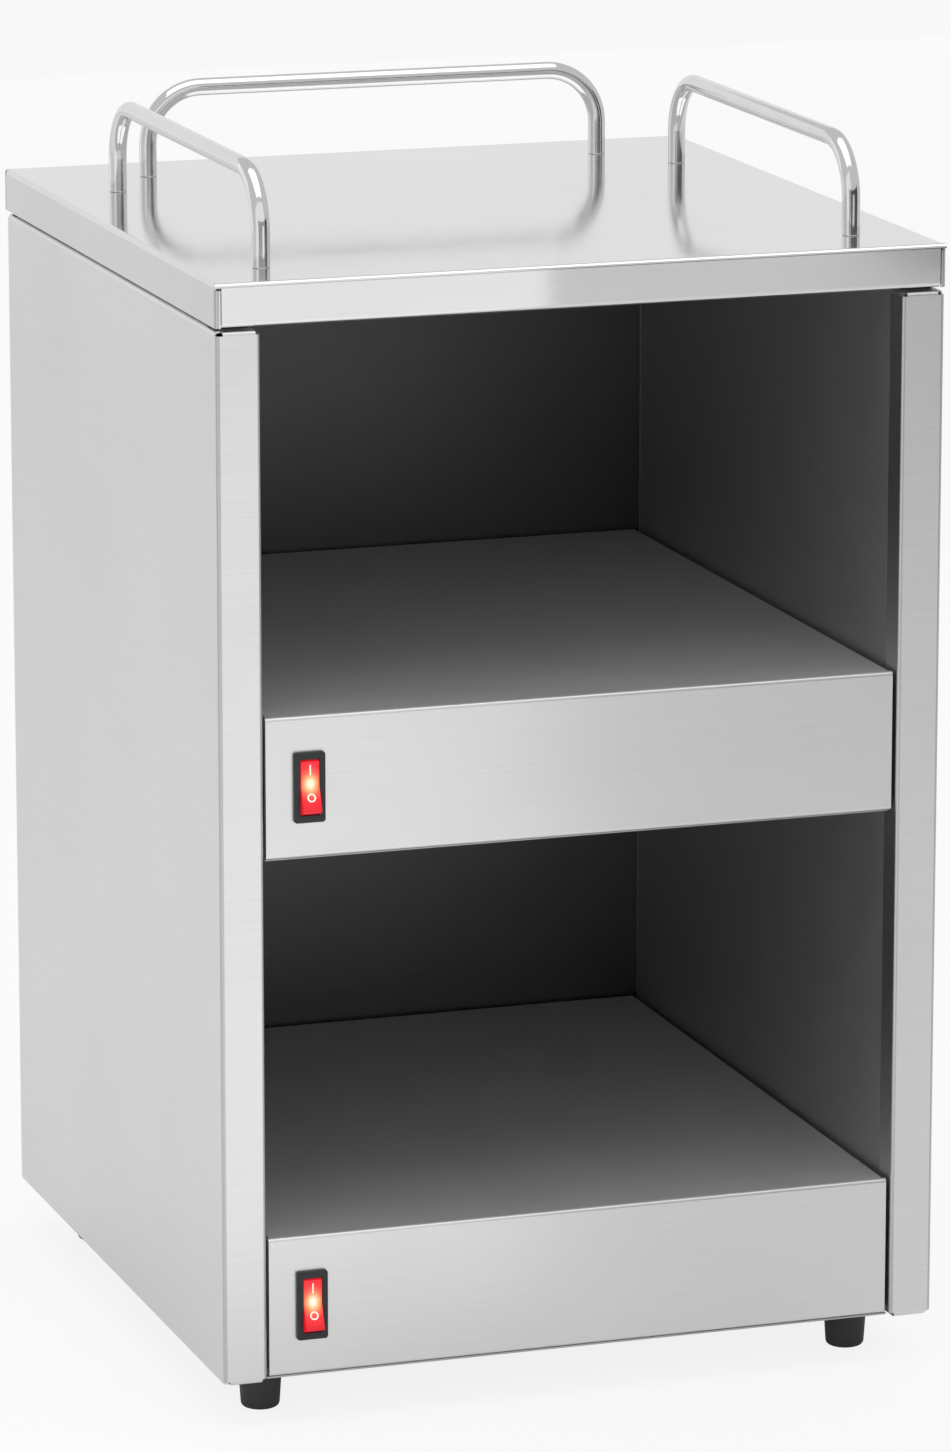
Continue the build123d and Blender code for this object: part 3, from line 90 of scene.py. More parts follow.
class Kind(Enum):
    """What is picked in edit mode."""

    FACE = "FACE"
    EDGE = "EDGE"


class Facing(Enum):
    """Where a screw's head points."""

    BACK = "back"
    DOWN = "down"


class Joining(Enum):
    """How one shape is joined to another."""

    CUT = "DIFFERENCE"
    ADD = "UNION"


class Value:
    """An output of a material's nodes that takes part in sums."""

    def __init__(self, graph: "Graph", socket: Socket) -> None:
        """Wraps an output of a material's nodes."""
        self.graph = graph
        self.socket = socket

    def _sum(self, operation: str, first: "Value | float", second: "Value | float") -> "Value":
        """Adds a Math node for two values."""
        made = self.graph.node("ShaderNodeMath", {"operation": operation}, {0: first, 1: second})
        return Value(self.graph, made.outputs[0])

    def __add__(self, other: "Value | float") -> "Value":
        """This value plus another."""
        return self._sum("ADD", self, other)

    __radd__ = __add__

    def __sub__(self, other: "Value | float") -> "Value":
        """This value minus another."""
        return self._sum("SUBTRACT", self, other)

    def __mul__(self, other: "Value | float") -> "Value":
        """This value times another."""
        return self._sum("MULTIPLY", self, other)

    __rmul__ = __mul__

    def __gt__(self, other: "Value | float") -> "Value":
        """One where this value is more than another, or else zero."""
        return self._sum("GREATER_THAN", self, other)

    def __abs__(self) -> "Value":
        """This value without its sign."""
        return self._sum("ABSOLUTE", self, 0.0)

    def swing(self, travel: float) -> "Value":
        """A value from 0 to 1 as one that swings about zero over a whole travel."""
        return (self - HALF) * travel


class Graph:
    """The nodes of one material."""

    def __init__(self, name: str) -> None:
        """Starts a finish's material with one principled shader."""
        self.material = bpy.data.materials.new(name)
        self.material.use_nodes = True
        self.tree = self.material.node_tree
        self.tree.nodes.clear()
        self.shader = self.node("ShaderNodeBsdfPrincipled")
        self.output = self.node("ShaderNodeOutputMaterial", {}, {"Surface": self.shader.outputs[0]})

    def node(
        self,
        kind: str,
        settings: dict[str, object] | None = None,
        inputs: dict[str | int, object] | None = None,
    ) -> bpy.types.Node:
        """Adds one node.

        Args:
            kind: the node's type.
            settings: properties that are set first, and a ramp's stops under "stops".
            inputs: a value, a Value or an output for each named input.

        Returns:
            The node.
        """
        made = self.tree.nodes.new(kind)
        for key, value in (settings or {}).items():
            if key == "stops":
                self._fill_ramp(made.color_ramp, value)
            else:
                setattr(made, key, value)
        for key, value in (inputs or {}).items():
            self.feed(made.inputs[key], value)
        return made

    def feed(self, target: Socket, value: object) -> None:
        """Sets an input, or links it where the value is an output."""
        if isinstance(value, Value):
            value = value.socket
        if isinstance(value, Socket):
            self.tree.links.new(value, target)
        else:
            target.default_value = value

    @staticmethod
    def _fill_ramp(ramp: bpy.types.ColorRamp, stops: tuple[tuple[float, Colour], ...]) -> None:
        """Puts the stops into a colour ramp."""
        while len(ramp.elements) < len(stops):
            ramp.elements.new(1.0)
        for element, (place, colour) in zip(ramp.elements, stops):
            element.position = place
            element.color = (*colour, 1.0)

    def place(self) -> Socket:
        """The point's own coordinates on the piece, in metres."""
        return self.node("ShaderNodeTexCoord").outputs["Object"]

    def axes(self, vector: Socket) -> list[Value]:
        """The three parts of a vector."""
        split = self.node("ShaderNodeSeparateXYZ", {}, {0: vector})
        return [Value(self, part) for part in split.outputs]

    def facing(self) -> list[Value]:
        """The three parts of the face's own normal."""
        return self.axes(self.node("ShaderNodeNewGeometry").outputs["True Normal"])

    def point(self, x: "Value | float", y: "Value | float", z: "Value | float") -> Socket:
        """A vector from three values."""
        return self.node("ShaderNodeCombineXYZ", {}, {0: x, 1: y, 2: z}).outputs[0]

    def noise(self, where: Socket, scale: float, detail: float = 2.0) -> Value:
        """Smooth noise from 0 to 1.

        Args:
            where: the coordinates that it reads.
            scale: cells per metre.
            detail: how many finer layers it has.
        """
        made = self.node("ShaderNodeTexNoise", {}, {"Vector": where, "Scale": scale, "Detail": detail})
        return Value(self, made.outputs["Fac"])

    def blend(self, share: Value, first: Colour, second: Colour) -> Socket:
        """A colour between two others."""
        return self.choose(share, (*first, 1.0), (*second, 1.0))

    def choose(self, share: Value, first: object, second: object) -> Socket:
        """A colour between two others that may be outputs."""
        colours = {0: share, MIX_FIRST: first, MIX_SECOND: second}
        return self.node("ShaderNodeMix", {"data_type": "RGBA"}, colours).outputs[MIX_RESULT]

    def spread(self, share: Value, colour: Colour, contrast: float) -> Socket:
        """A colour that runs from darker to lighter than a given one."""
        return self.blend(share, shade(colour, 1.0 - contrast), shade(colour, 1.0 + contrast))

    def set(self, **inputs: object) -> None:
        """Sets or links inputs of the shader, their names written with _ for a space."""
        for key, value in inputs.items():
            self.feed(self.shader.inputs[key.replace("_", " ").title().replace("Ior", "IOR")], value)

    def relief(self, height: Value, depth: float, strength: float) -> None:
        """Feeds a bump to the shader's normal.

        Args:
            height: the relief from 0 to 1.
            depth: its depth in metres.
            strength: how much of it shows.
        """
        bump = self.node("ShaderNodeBump", {}, {"Height": height, "Distance": depth, "Strength": strength})
        self.feed(self.shader.inputs["Normal"], bump.outputs[0])


def shade(colour: Colour, factor: float) -> Colour:
    """A colour made lighter or darker."""
    return tuple(min(1.0, part * factor) for part in colour)


@dataclass(frozen=True)
class BrushedSteel:
    """Stainless sheet with fine lines left by the belt.

    Attributes:
        contrast: how far its tone strays, as a share of the colour.
        lines: lines per metre across the grain.
        run: how often a line changes per metre along the grain.
        depth: the depth of the lines in metres.
        painted_shade_share: the brightness of faces that look forward, as a share of the rest: painted shade
            inside the compartments.
        painted_bend_share: the same of upright bends: a painted dark reflection along them.
        top_wear: how much rougher the faces are that look up.
    """

    name: str
    colour: Colour
    roughness: float
    grain: Grain
    contrast: float = 0.06
    lines: float = 2600.0
    run: float = 14.0
    depth: float = 0.004 * MM
    relief_strength: float = 0.35
    cloud_scale: float = 9.0
    smudge_scale: float = 34.0
    hair_tone: float = 1.3
    cloud_tone: float = 0.7
    hair_roughness: float = 0.12
    smudge_roughness: float = 0.06
    painted_shade_share: float = 1.0
    painted_shade_contrast: float = 0.1
    painted_bend_share: float = 0.70
    painted_bend_contrast: float = 0.05
    bend_lean: float = 0.15
    top_wear: float = 0.0

    def make(self) -> Material:
        """Builds the material."""
        graph = Graph(self.name)
        place = graph.place()
        x, y, z = graph.axes(place)
        across, along, upward = graph.facing()
        if self.grain is Grain.LEVEL:
            where = graph.point(x * self.run, y * self.run, z * self.lines)
        elif self.grain is Grain.UPRIGHT:
            where = graph.point(x * self.lines, y * self.lines, z * self.run)
        else:
            z_scale = self.lines + (abs(across) > HALF) * (self.run - self.lines)
            where = graph.point(x * self.run, y * self.lines, z * z_scale)
        hair = graph.noise(where, 1.0, detail=3.0)
        cloud = graph.noise(place, self.cloud_scale)
        smudge = graph.noise(place, self.smudge_scale, detail=4.0)
        tone = HALF + hair.swing(self.hair_tone) + cloud.swing(self.cloud_tone)
        colour = graph.spread(tone, self.colour, self.contrast)
        # Faces that look forward get a darker copy of the colour: painted shade inside the compartments.
        if self.painted_shade_share < 1.0:
            painted_shade_colour = graph.spread(tone, shade(self.colour, self.painted_shade_share), self.painted_shade_contrast)
            colour = graph.choose(-1.0 * along > HALF, colour, painted_shade_colour)
        # Upright bends get a darker copy of the colour: a painted dark reflection along the bends.
        upright_bend = (abs(across) > self.bend_lean) * (abs(along) > self.bend_lean)
        painted_dark_bend = graph.spread(tone, shade(self.colour, self.painted_bend_share), self.painted_bend_contrast)
        wear = (upward > ALONG) * self.top_wear
        uneven = hair.swing(self.hair_roughness) + smudge.swing(self.smudge_roughness)
        graph.set(
            base_color=graph.choose(upright_bend > HALF, colour, painted_dark_bend),
            roughness=self.roughness + wear + uneven,
            metallic=1.0,
        )
        graph.relief(hair, self.depth, self.relief_strength)
        return graph.material


@dataclass(frozen=True)
class PolishedRod:
    """Stainless rod polished along its length."""

    name: str = "polished_rod"
    colour: Colour = (0.80, 0.80, 0.80)
    darkest: float = 0.95
    lightest: float = 1.04
    roughness: float = 0.10
    scratch_scale: float = 900.0
    cloud_scale: float = 40.0
    scratch_roughness: float = 0.06
    cloud_roughness: float = 0.05

    def make(self) -> Material:
        """Builds the material."""
        graph = Graph(self.name)
        place = graph.place()
        scratch = graph.noise(place, self.scratch_scale, detail=3.0)
        cloud = graph.noise(place, self.cloud_scale)
        uneven = scratch.swing(self.scratch_roughness) + cloud.swing(self.cloud_roughness)
        dark, pale = shade(self.colour, self.darkest), shade(self.colour, self.lightest)
        graph.set(
            base_color=graph.blend(cloud, dark, pale),
            roughness=self.roughness + uneven,
            metallic=1.0,
        )
        return graph.material


@dataclass(frozen=True)
class Moulded:
    """Rubber, plastic, silicone or fibre with a fine skin and a little variation of colour.

    Attributes:
        skin: bumps per metre of its surface.
        depth: the depth of the bumps in metres.
        contrast: how far its tone strays, as a share of the colour.
    """

    name: str
    colour: Colour
    roughness: float
    skin: float = 1800.0
    depth: float = 0.03 * MM
    relief_strength: float = 0.5
    cloud_scale: float = 60.0
    cloud_roughness: float = 0.12
    contrast: float = 0.12
    metallic: float = 0.0

    def make(self) -> Material:
        """Builds the material."""
        graph = Graph(self.name)
        place = graph.place()
        skin = graph.noise(place, self.skin, detail=3.0)
        cloud = graph.noise(place, self.cloud_scale, detail=3.0)
        graph.set(
            base_color=graph.spread(cloud, self.colour, self.contrast),
            roughness=self.roughness + cloud.swing(self.cloud_roughness),
            metallic=self.metallic,
        )
        graph.relief(skin, self.depth, self.relief_strength)
        return graph.material


@dataclass(frozen=True)
class LitLens:
    """The red lens of a switch, lit from behind: hot in the middle and deep red towards its ends.

    Attributes:
        centre: the hottest point.
        reach: how far the glow goes, in metres.
        shaded_side_fall: how much further away its sides count as, which paints them deeper red: painted
            shade on the sides.
        glow: the glow's colours, from its centre to its reach.
    """

    name: str
    centre: Vector
    reach: float = 11.0 * MM
    sideways_stretch: float = 1.25
    depth_stretch: float = 0.9
    side_lean: float = 0.6
    shaded_side_fall: float = 0.42
    colour: Colour = (0.60, 0.01, 0.018)
    roughness: float = 0.24
    coat: float = 0.15
    specular: float = 0.4
    strength: float = 0.95
    glow: tuple[tuple[float, Colour], ...] = (
        (0.0, (1.0, 1.0, 0.90)),
        (0.14, (1.0, 0.97, 0.70)),
        (0.28, (1.0, 0.55, 0.22)),
        (0.46, (0.92, 0.16, 0.07)),
        (0.70, (0.68, 0.02, 0.025)),
        (1.0, (0.36, 0.002, 0.01)),
    )

    def make(self) -> Material:
        """Builds the material."""
        graph = Graph(self.name)
        x, y, z = graph.axes(graph.place())
        aside = (x - self.centre.x) * self.sideways_stretch
        behind = (y - self.centre.y) * self.depth_stretch
        away = graph.point(aside, behind, z - self.centre.z)
        length = graph.node("ShaderNodeVectorMath", {"operation": "LENGTH"}, {0: away}).outputs["Value"]
        across, _, _ = graph.facing()
        # Faces that look sideways count as further from the hot spot, so they glow deeper red: painted shade
        # on the sides.
        painted_side_shade = (abs(across) > self.side_lean) * self.shaded_side_fall
        distance = Value(graph, length) * (1.0 / self.reach) + painted_side_shade
        glow = graph.node("ShaderNodeValToRGB", {"stops": self.glow}, {"Fac": distance})
        graph.set(
            base_color=(*self.colour, 1.0),
            roughness=self.roughness,
            coat_weight=self.coat,
            specular_ior_level=self.specular,
            emission_color=glow.outputs["Color"],
            emission_strength=self.strength,
        )
        return graph.material


@dataclass(frozen=True)
class MarkPaint:
    """The warm white of the printed marks, lit through the lens."""

    name: str = "mark_paint"
    colour: Colour = (0.96, 0.90, 0.84)
    glow: Colour = (1.0, 0.80, 0.70)
    grain_scale: float = 2500.0
    darkest: float = 0.94
    roughness: float = 0.4
    strength: float = 0.35

    def make(self) -> Material:
        """Builds the material."""
        graph = Graph(self.name)
        grain = graph.noise(graph.place(), self.grain_scale)
        graph.set(
            base_color=graph.blend(grain, shade(self.colour, self.darkest), self.colour),
            roughness=self.roughness,
            emission_color=(*self.glow, 1.0),
            emission_strength=self.strength,
        )
        return graph.material


@dataclass(frozen=True)
class LampGlass:
    """The small glow lamp behind a rocker."""

    name: str = "lamp_glass"
    colour: Colour = (1.0, 0.7, 0.45)
    deep_glow: Colour = (1.0, 0.42, 0.10)
    pale_glow: Colour = (1.0, 0.62, 0.22)
    cloud_scale: float = 500.0
    roughness: float = 0.08

    def make(self) -> Material:
        """Builds the material."""
        graph = Graph(self.name)
        cloud = graph.noise(graph.place(), self.cloud_scale)
        graph.set(
            base_color=(*self.colour, 1.0),
            roughness=self.roughness,
            emission_color=graph.blend(cloud, self.deep_glow, self.pale_glow),
            emission_strength=1.0,
        )
        return graph.material


FINISHES = (
    BrushedSteel("brushed_skin", (0.79, 0.79, 0.785), 0.34, Grain.LEVEL),
    BrushedSteel("cover_skin", (0.80, 0.80, 0.795), 0.10, Grain.COVER),
    # The back panel's faces that look forward, into the compartments, are painted far darker: painted shade.
    BrushedSteel("back_skin", (0.79, 0.79, 0.785), 0.34, Grain.LEVEL, painted_shade_share=0.12),
    # The inner walls are the same steel with a darker colour than the outer skin: painted shade of the
    # compartments.
    BrushedSteel("inner_skin", (0.54, 0.54, 0.545), 0.56, Grain.UPRIGHT, depth=0.0015 * MM),
    BrushedSteel("shelf_skin", (0.78, 0.78, 0.775), 0.36, Grain.COVER, top_wear=0.3),
    PolishedRod(),
    Moulded("fastener_steel", (0.66, 0.66, 0.66), 0.30, contrast=0.05, metallic=1.0),
    Moulded("foot_rubber", (0.034, 0.034, 0.035), 0.62),
    Moulded("bezel_plastic", (0.013, 0.016, 0.017), 0.45, skin=3500.0, depth=0.015 * MM),
    Moulded("gland_plastic", (0.03, 0.03, 0.03), 0.5),
    Moulded("pale_plastic", (0.80, 0.79, 0.74), 0.45, contrast=0.04),
    Moulded("control_body", (0.09, 0.07, 0.06), 0.35),
    Moulded("mat_silicone", (0.50, 0.15, 0.07), 0.6, skin=900.0),
    Moulded("pad_fibre", (0.80, 0.78, 0.72), 0.9, skin=500.0, depth=0.3 * MM),
    Moulded("wire_sleeve", (0.72, 0.70, 0.65), 0.55, skin=2600.0),
    Moulded("blade_brass", (0.74, 0.60, 0.32), 0.32, metallic=1.0),
    LampGlass(),
    MarkPaint(),
)


def rim_above(height: float) -> Test:
    """A test for the level edges above a height."""
    return lambda middle, along: middle.z > height and abs(along.z) < ACROSS


def rim_below(height: float) -> Test:
    """A test for the level edges below a height."""
    return lambda middle, along: middle.z < height and abs(along.z) < ACROSS


def runs_back(middle: Vector, along: Vector) -> bool:
    """Whether an edge runs from front to back."""
    return abs(along.y) > ALONG


class Bench:
    """Where pieces are modelled: starts primitives, picks faces and edges by place and finishes meshes."""

    @staticmethod
    def clear() -> None:
        """Leaves edit mode and deselects everything."""
        if bpy.context.object and bpy.context.object.mode != "OBJECT":
            bpy.ops.object.mode_set(mode="OBJECT")
        bpy.ops.object.select_all(action="DESELECT")

    @staticmethod
    def hold(piece: Piece) -> None:
        """Makes a piece the only one selected, outside edit mode."""
        Bench.clear()
        piece.select_set(True)
        bpy.context.view_layer.objects.active = piece

    @staticmethod
    def started(name: str) -> Piece:
        """Names the primitive that was just added and puts its place into its mesh."""
        piece = bpy.context.object
        piece.name = name
        piece.data.name = name
        bpy.ops.object.transform_apply(location=True, rotation=True, scale=True)
        return piece

    @classmethod
    def box(cls, name: str, low: Vector, high: Vector) -> Piece:
        """Starts a piece from a cube between two corners."""
        cls.clear()
        bpy.ops.mesh.primitive_cube_add(size=1.0, location=(low + high) / 2, scale=high - low)
        return cls.started(name)

    @classmethod
    def drum(cls, name: str, foot: Vector, radius: float, height: float, sides: int) -> Piece:
        """Starts a piece from an upright cylinder that stands on a point."""
        cls.clear()
        middle = foot + UP * (height / 2)
        bpy.ops.mesh.primitive_cylinder_add(vertices=sides, radius=radius, depth=height, location=middle)
        return cls.started(name)

    @classmethod
    def disc(cls, name: str, place: Vector, radius: float, sides: int, turn: Place = UNTURNED) -> Piece:
        """Starts a piece from a filled circle, taken whole in edit mode."""
        cls.clear()
        bpy.ops.mesh.primitive_circle_add(
            vertices=sides, radius=radius, fill_type="NGON", location=place, rotation=turn
        )
        piece = cls.started(name)
        cls.take_all()
        return piece

    @staticmethod
    def take_all() -> None:
        """Selects the whole mesh, in edit mode."""
        bpy.ops.object.mode_set(mode="EDIT")
        bpy.ops.mesh.select_all(action="SELECT")

    @staticmethod
    def pick(piece: Piece, kind: Kind, test: Test) -> None:
        """Selects faces or edges in edit mode.

        Args:
            piece: the piece that is being shaped.
            kind: what is picked.
            test: told the middle of each, and a face's normal or an edge's direction.
        """
        bpy.ops.object.mode_set(mode="EDIT")
        bpy.ops.mesh.select_mode(type=kind.value)
        bpy.ops.mesh.select_all(action="DESELECT")
        bpy.ops.object.mode_set(mode="OBJECT")
        mesh = piece.data
        if kind is Kind.FACE:
            for face in mesh.polygons:
                face.select = test(face.center, face.normal)
        else:
            for edge in mesh.edges:
                first, second = (mesh.vertices[index].co for index in edge.vertices)
                edge.select = test((first + second) / 2, (second - first).normalized())
        bpy.ops.object.mode_set(mode="EDIT")

    @classmethod
    def round_edges(cls, piece: Piece, test: Test, offset: float, steps: int) -> None:
        """Bevels the edges that pass a test."""
        cls.pick(piece, Kind.EDGE, test)
        bpy.ops.mesh.bevel(offset=offset, segments=steps, affect="EDGES")

    @staticmethod
    def push(move: Vector) -> None:
        """Extrudes the selected faces and moves them."""
        bpy.ops.mesh.extrude_region_move(TRANSFORM_OT_translate={"value": move})

    @staticmethod
    def mend() -> None:
        """Merges doubles among what is selected and turns its faces outwards."""
        bpy.ops.mesh.remove_doubles(threshold=MERGE)
        bpy.ops.mesh.normals_make_consistent(inside=False)

    @staticmethod
    def clean(piece: Piece, angle: float = 40.0) -> Piece:
        """Mends a shaped piece and shades it.

        Args:
            piece: the shaped piece.
            angle: the turn in degrees up to which neighbouring faces look smooth.

        Returns:
            The piece.
        """
        Bench.take_all()
        Bench.mend()
        Bench.hold(piece)
        bpy.ops.object.shade_smooth_by_angle(angle=math.radians(angle))
        return piece

    @staticmethod
    def join(piece: Piece, tool: Piece, joining: Joining) -> None:
        """Cuts a tool's shape out of a piece or adds it, and removes the tool."""
        modifier = piece.modifiers.new("joining", "BOOLEAN")
        modifier.object = tool
        modifier.operation = joining.value
        modifier.solver = "EXACT"
        Bench.hold(piece)
        bpy.ops.object.modifier_apply(modifier=modifier.name)
        bpy.data.objects.remove(tool)

    @staticmethod
    def copies(piece: Piece, name: str, places: list[Matrix]) -> Piece:
        """Puts a copy of a piece at each place and joins them.

        Args:
            piece: the piece to copy, modelled at the origin.
            name: the name of the group.
            places: the place of each copy.

        Returns:
            The joined copies, as one piece.
        """
        Bench.clear()
        group = []
        for place in places:
            twin = piece.copy()
            twin.data = piece.data.copy()
            twin.data.transform(place)
            bpy.context.scene.collection.objects.link(twin)
            twin.select_set(True)
            group.append(twin)
        bpy.context.view_layer.objects.active = group[0]
        if len(group) > 1:
            bpy.ops.object.join()
        joined = bpy.context.object
        joined.name = name
        joined.data.name = name
        return joined


class Workshop:
    """Holds the finishes and hands pieces over to the frame."""

    def __init__(self) -> None:
        """Makes every finish."""
        self.finishes = {finish.name: finish.make() for finish in FINISHES}

    def dress(self, piece: Piece, finish: str) -> None:
        """Gives a piece one finish."""
        if not piece.data.materials:
            piece.data.materials.append(self.finishes[finish])
        for place in piece.material_slots:
            place.material = self.finishes[finish]

    def hand_over(
        self, piece: Piece, body: str, finish: str, replaces: tuple[str, ...] = ()
    ) -> None:
        """Dresses a new piece, fixes it to its body and hides the CAD nodes that it stands for.

        Args:
            piece: the finished piece.
            body: the body that carries it.
            finish: the finish's name.
            replaces: CAD nodes that the piece stands for.
        """
        self.dress(piece, finish)
        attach(piece, body)
        if replaces:
            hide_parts(*replaces)
        LOG.info("%s: %d faces on %s", piece.name, len(piece.data.polygons), body)


@dataclass
class Cabinet:
    """The folded sheets and everything else whose shape comes from the frame."""

    special: dict[str, str] = field(default_factory=lambda: {
        "top_cover": "cover_skin",
        "back_panel": "back_skin",
        "upper_shelf": "shelf_skin",
        "lower_shelf": "shelf_skin",
    })

    def build(self, shop: Workshop) -> None:
        """Gives each CAD node the finish of its slot."""
        for name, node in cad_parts.items():
            slot = node.material_slots[0].name
            shop.dress(node, self.special.get(name, slot if slot in shop.finishes else "brushed_skin"))
            LOG.info("%s: dressed for slot %s", name, slot)


@dataclass
class Gallery:
    """The bent rails on the cover."""

    bend_radius: float = 25.0 * MM
    foot_edge: float = 0.3 * MM
    foot_edge_steps: int = 2
    foot_ring: float = 0.5 * MM
    sides: int = 48
    bend_steps: int = 20
    nodes: tuple[str, ...] = ("left_rail", "right_rail", "back_rail")

    def rail(self, node: str) -> Piece:
        """Models a rail: a disc pushed up, spun over, pushed along, spun over and pushed down.

        A low ring of faces at each foot keeps the rounded rim out of the post's shading.
        """
        low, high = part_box(node)
        size = high - low
        heading = BACKWARDS if size.y > size.x else RIGHT
        radius = min(size.x, size.y) / 2
        span = size.dot(heading) - 2 * radius
        upright = size.z - radius - self.bend_radius
        near = low + Vector((radius, radius, 0.0))
        far = near + heading * span
        piece = Bench.disc(node.replace("rail", "gallery_rail"), near, radius, self.sides)
        Bench.push(UP * self.foot_ring)
        Bench.push(UP * (upright - self.foot_ring))
        self._bend(near + heading * self.bend_radius + UP * upright, heading.cross(UP))
        Bench.push(heading * (span - 2 * self.bend_radius))
        self._bend(far - heading * self.bend_radius + UP * upright, heading.cross(UP))
        Bench.push(-UP * (upright - self.foot_ring))
        Bench.push(-UP * self.foot_ring)
        Bench.round_edges(piece, rim_below(low.z + NEAR), self.foot_edge, self.foot_edge_steps)
        return Bench.clean(piece)

    def _bend(self, centre: Vector, axis: Vector) -> None:
        """Turns the selected end through a quarter circle."""
        bpy.ops.mesh.spin(steps=self.bend_steps, angle=QUARTER, center=centre, axis=axis)

    def build(self, shop: Workshop) -> None:
        """Models the three rails."""
        for node in self.nodes:
            shop.hand_over(self.rail(node), "cabinet", "polished_rod", (node,))


@dataclass
class Feet:
    """The four tapered rubber feet.

    Attributes:
        sole: how high the middles of the sole's nearly level faces are at most.
    """

    taper: float = 1.5 * MM
    edge: float = 2.0 * MM
    edge_steps: int = 6
    top_edge: float = 0.5 * MM
    top_edge_steps: int = 3
    sole: float = 0.1 * MM
    recess_radius: float = 5.5 * MM
    recess_depth: float = 9.0 * MM
    sides: int = 64
    nodes: tuple[str, ...] = ("front_left_foot", "front_right_foot", "rear_left_foot", "rear_right_foot")

    def foot(self) -> Piece:
        """Models one foot on the origin: a cone with rounded rims and a recess for its screw."""
        low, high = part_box(self.nodes[0])
        top_radius = (high.x - low.x) / 2
        height = high.z - low.z
        bottom_radius = top_radius - self.taper
        middle = UP * (height / 2)
        Bench.clear()
        bpy.ops.mesh.primitive_cone_add(
            vertices=self.sides, radius1=bottom_radius, radius2=top_radius, depth=height, location=middle
        )
        piece = Bench.started("foot")
        Bench.round_edges(piece, rim_below(NEAR), self.edge, self.edge_steps)
        Bench.round_edges(piece, rim_above(height - NEAR), self.top_edge, self.top_edge_steps)
        Bench.pick(piece, Kind.FACE, lambda middle, normal: normal.z < -FACING and middle.z < self.sole)
        bpy.ops.mesh.inset(thickness=bottom_radius - self.edge - self.recess_radius)
        Bench.push(UP * self.recess_depth)
        return Bench.clean(piece)

    def build(self, shop: Workshop) -> None:
        """Models a foot and copies it to its four places."""
        foot = self.foot()
        for node in self.nodes:
            low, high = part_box(node)
            place = Matrix.Translation(((low.x + high.x) / 2, (low.y + high.y) / 2, low.z))
            piece = Bench.copies(foot, "rubber_" + node, [place])
            shop.hand_over(piece, "cabinet", "foot_rubber", (node,))
        bpy.data.objects.remove(foot)


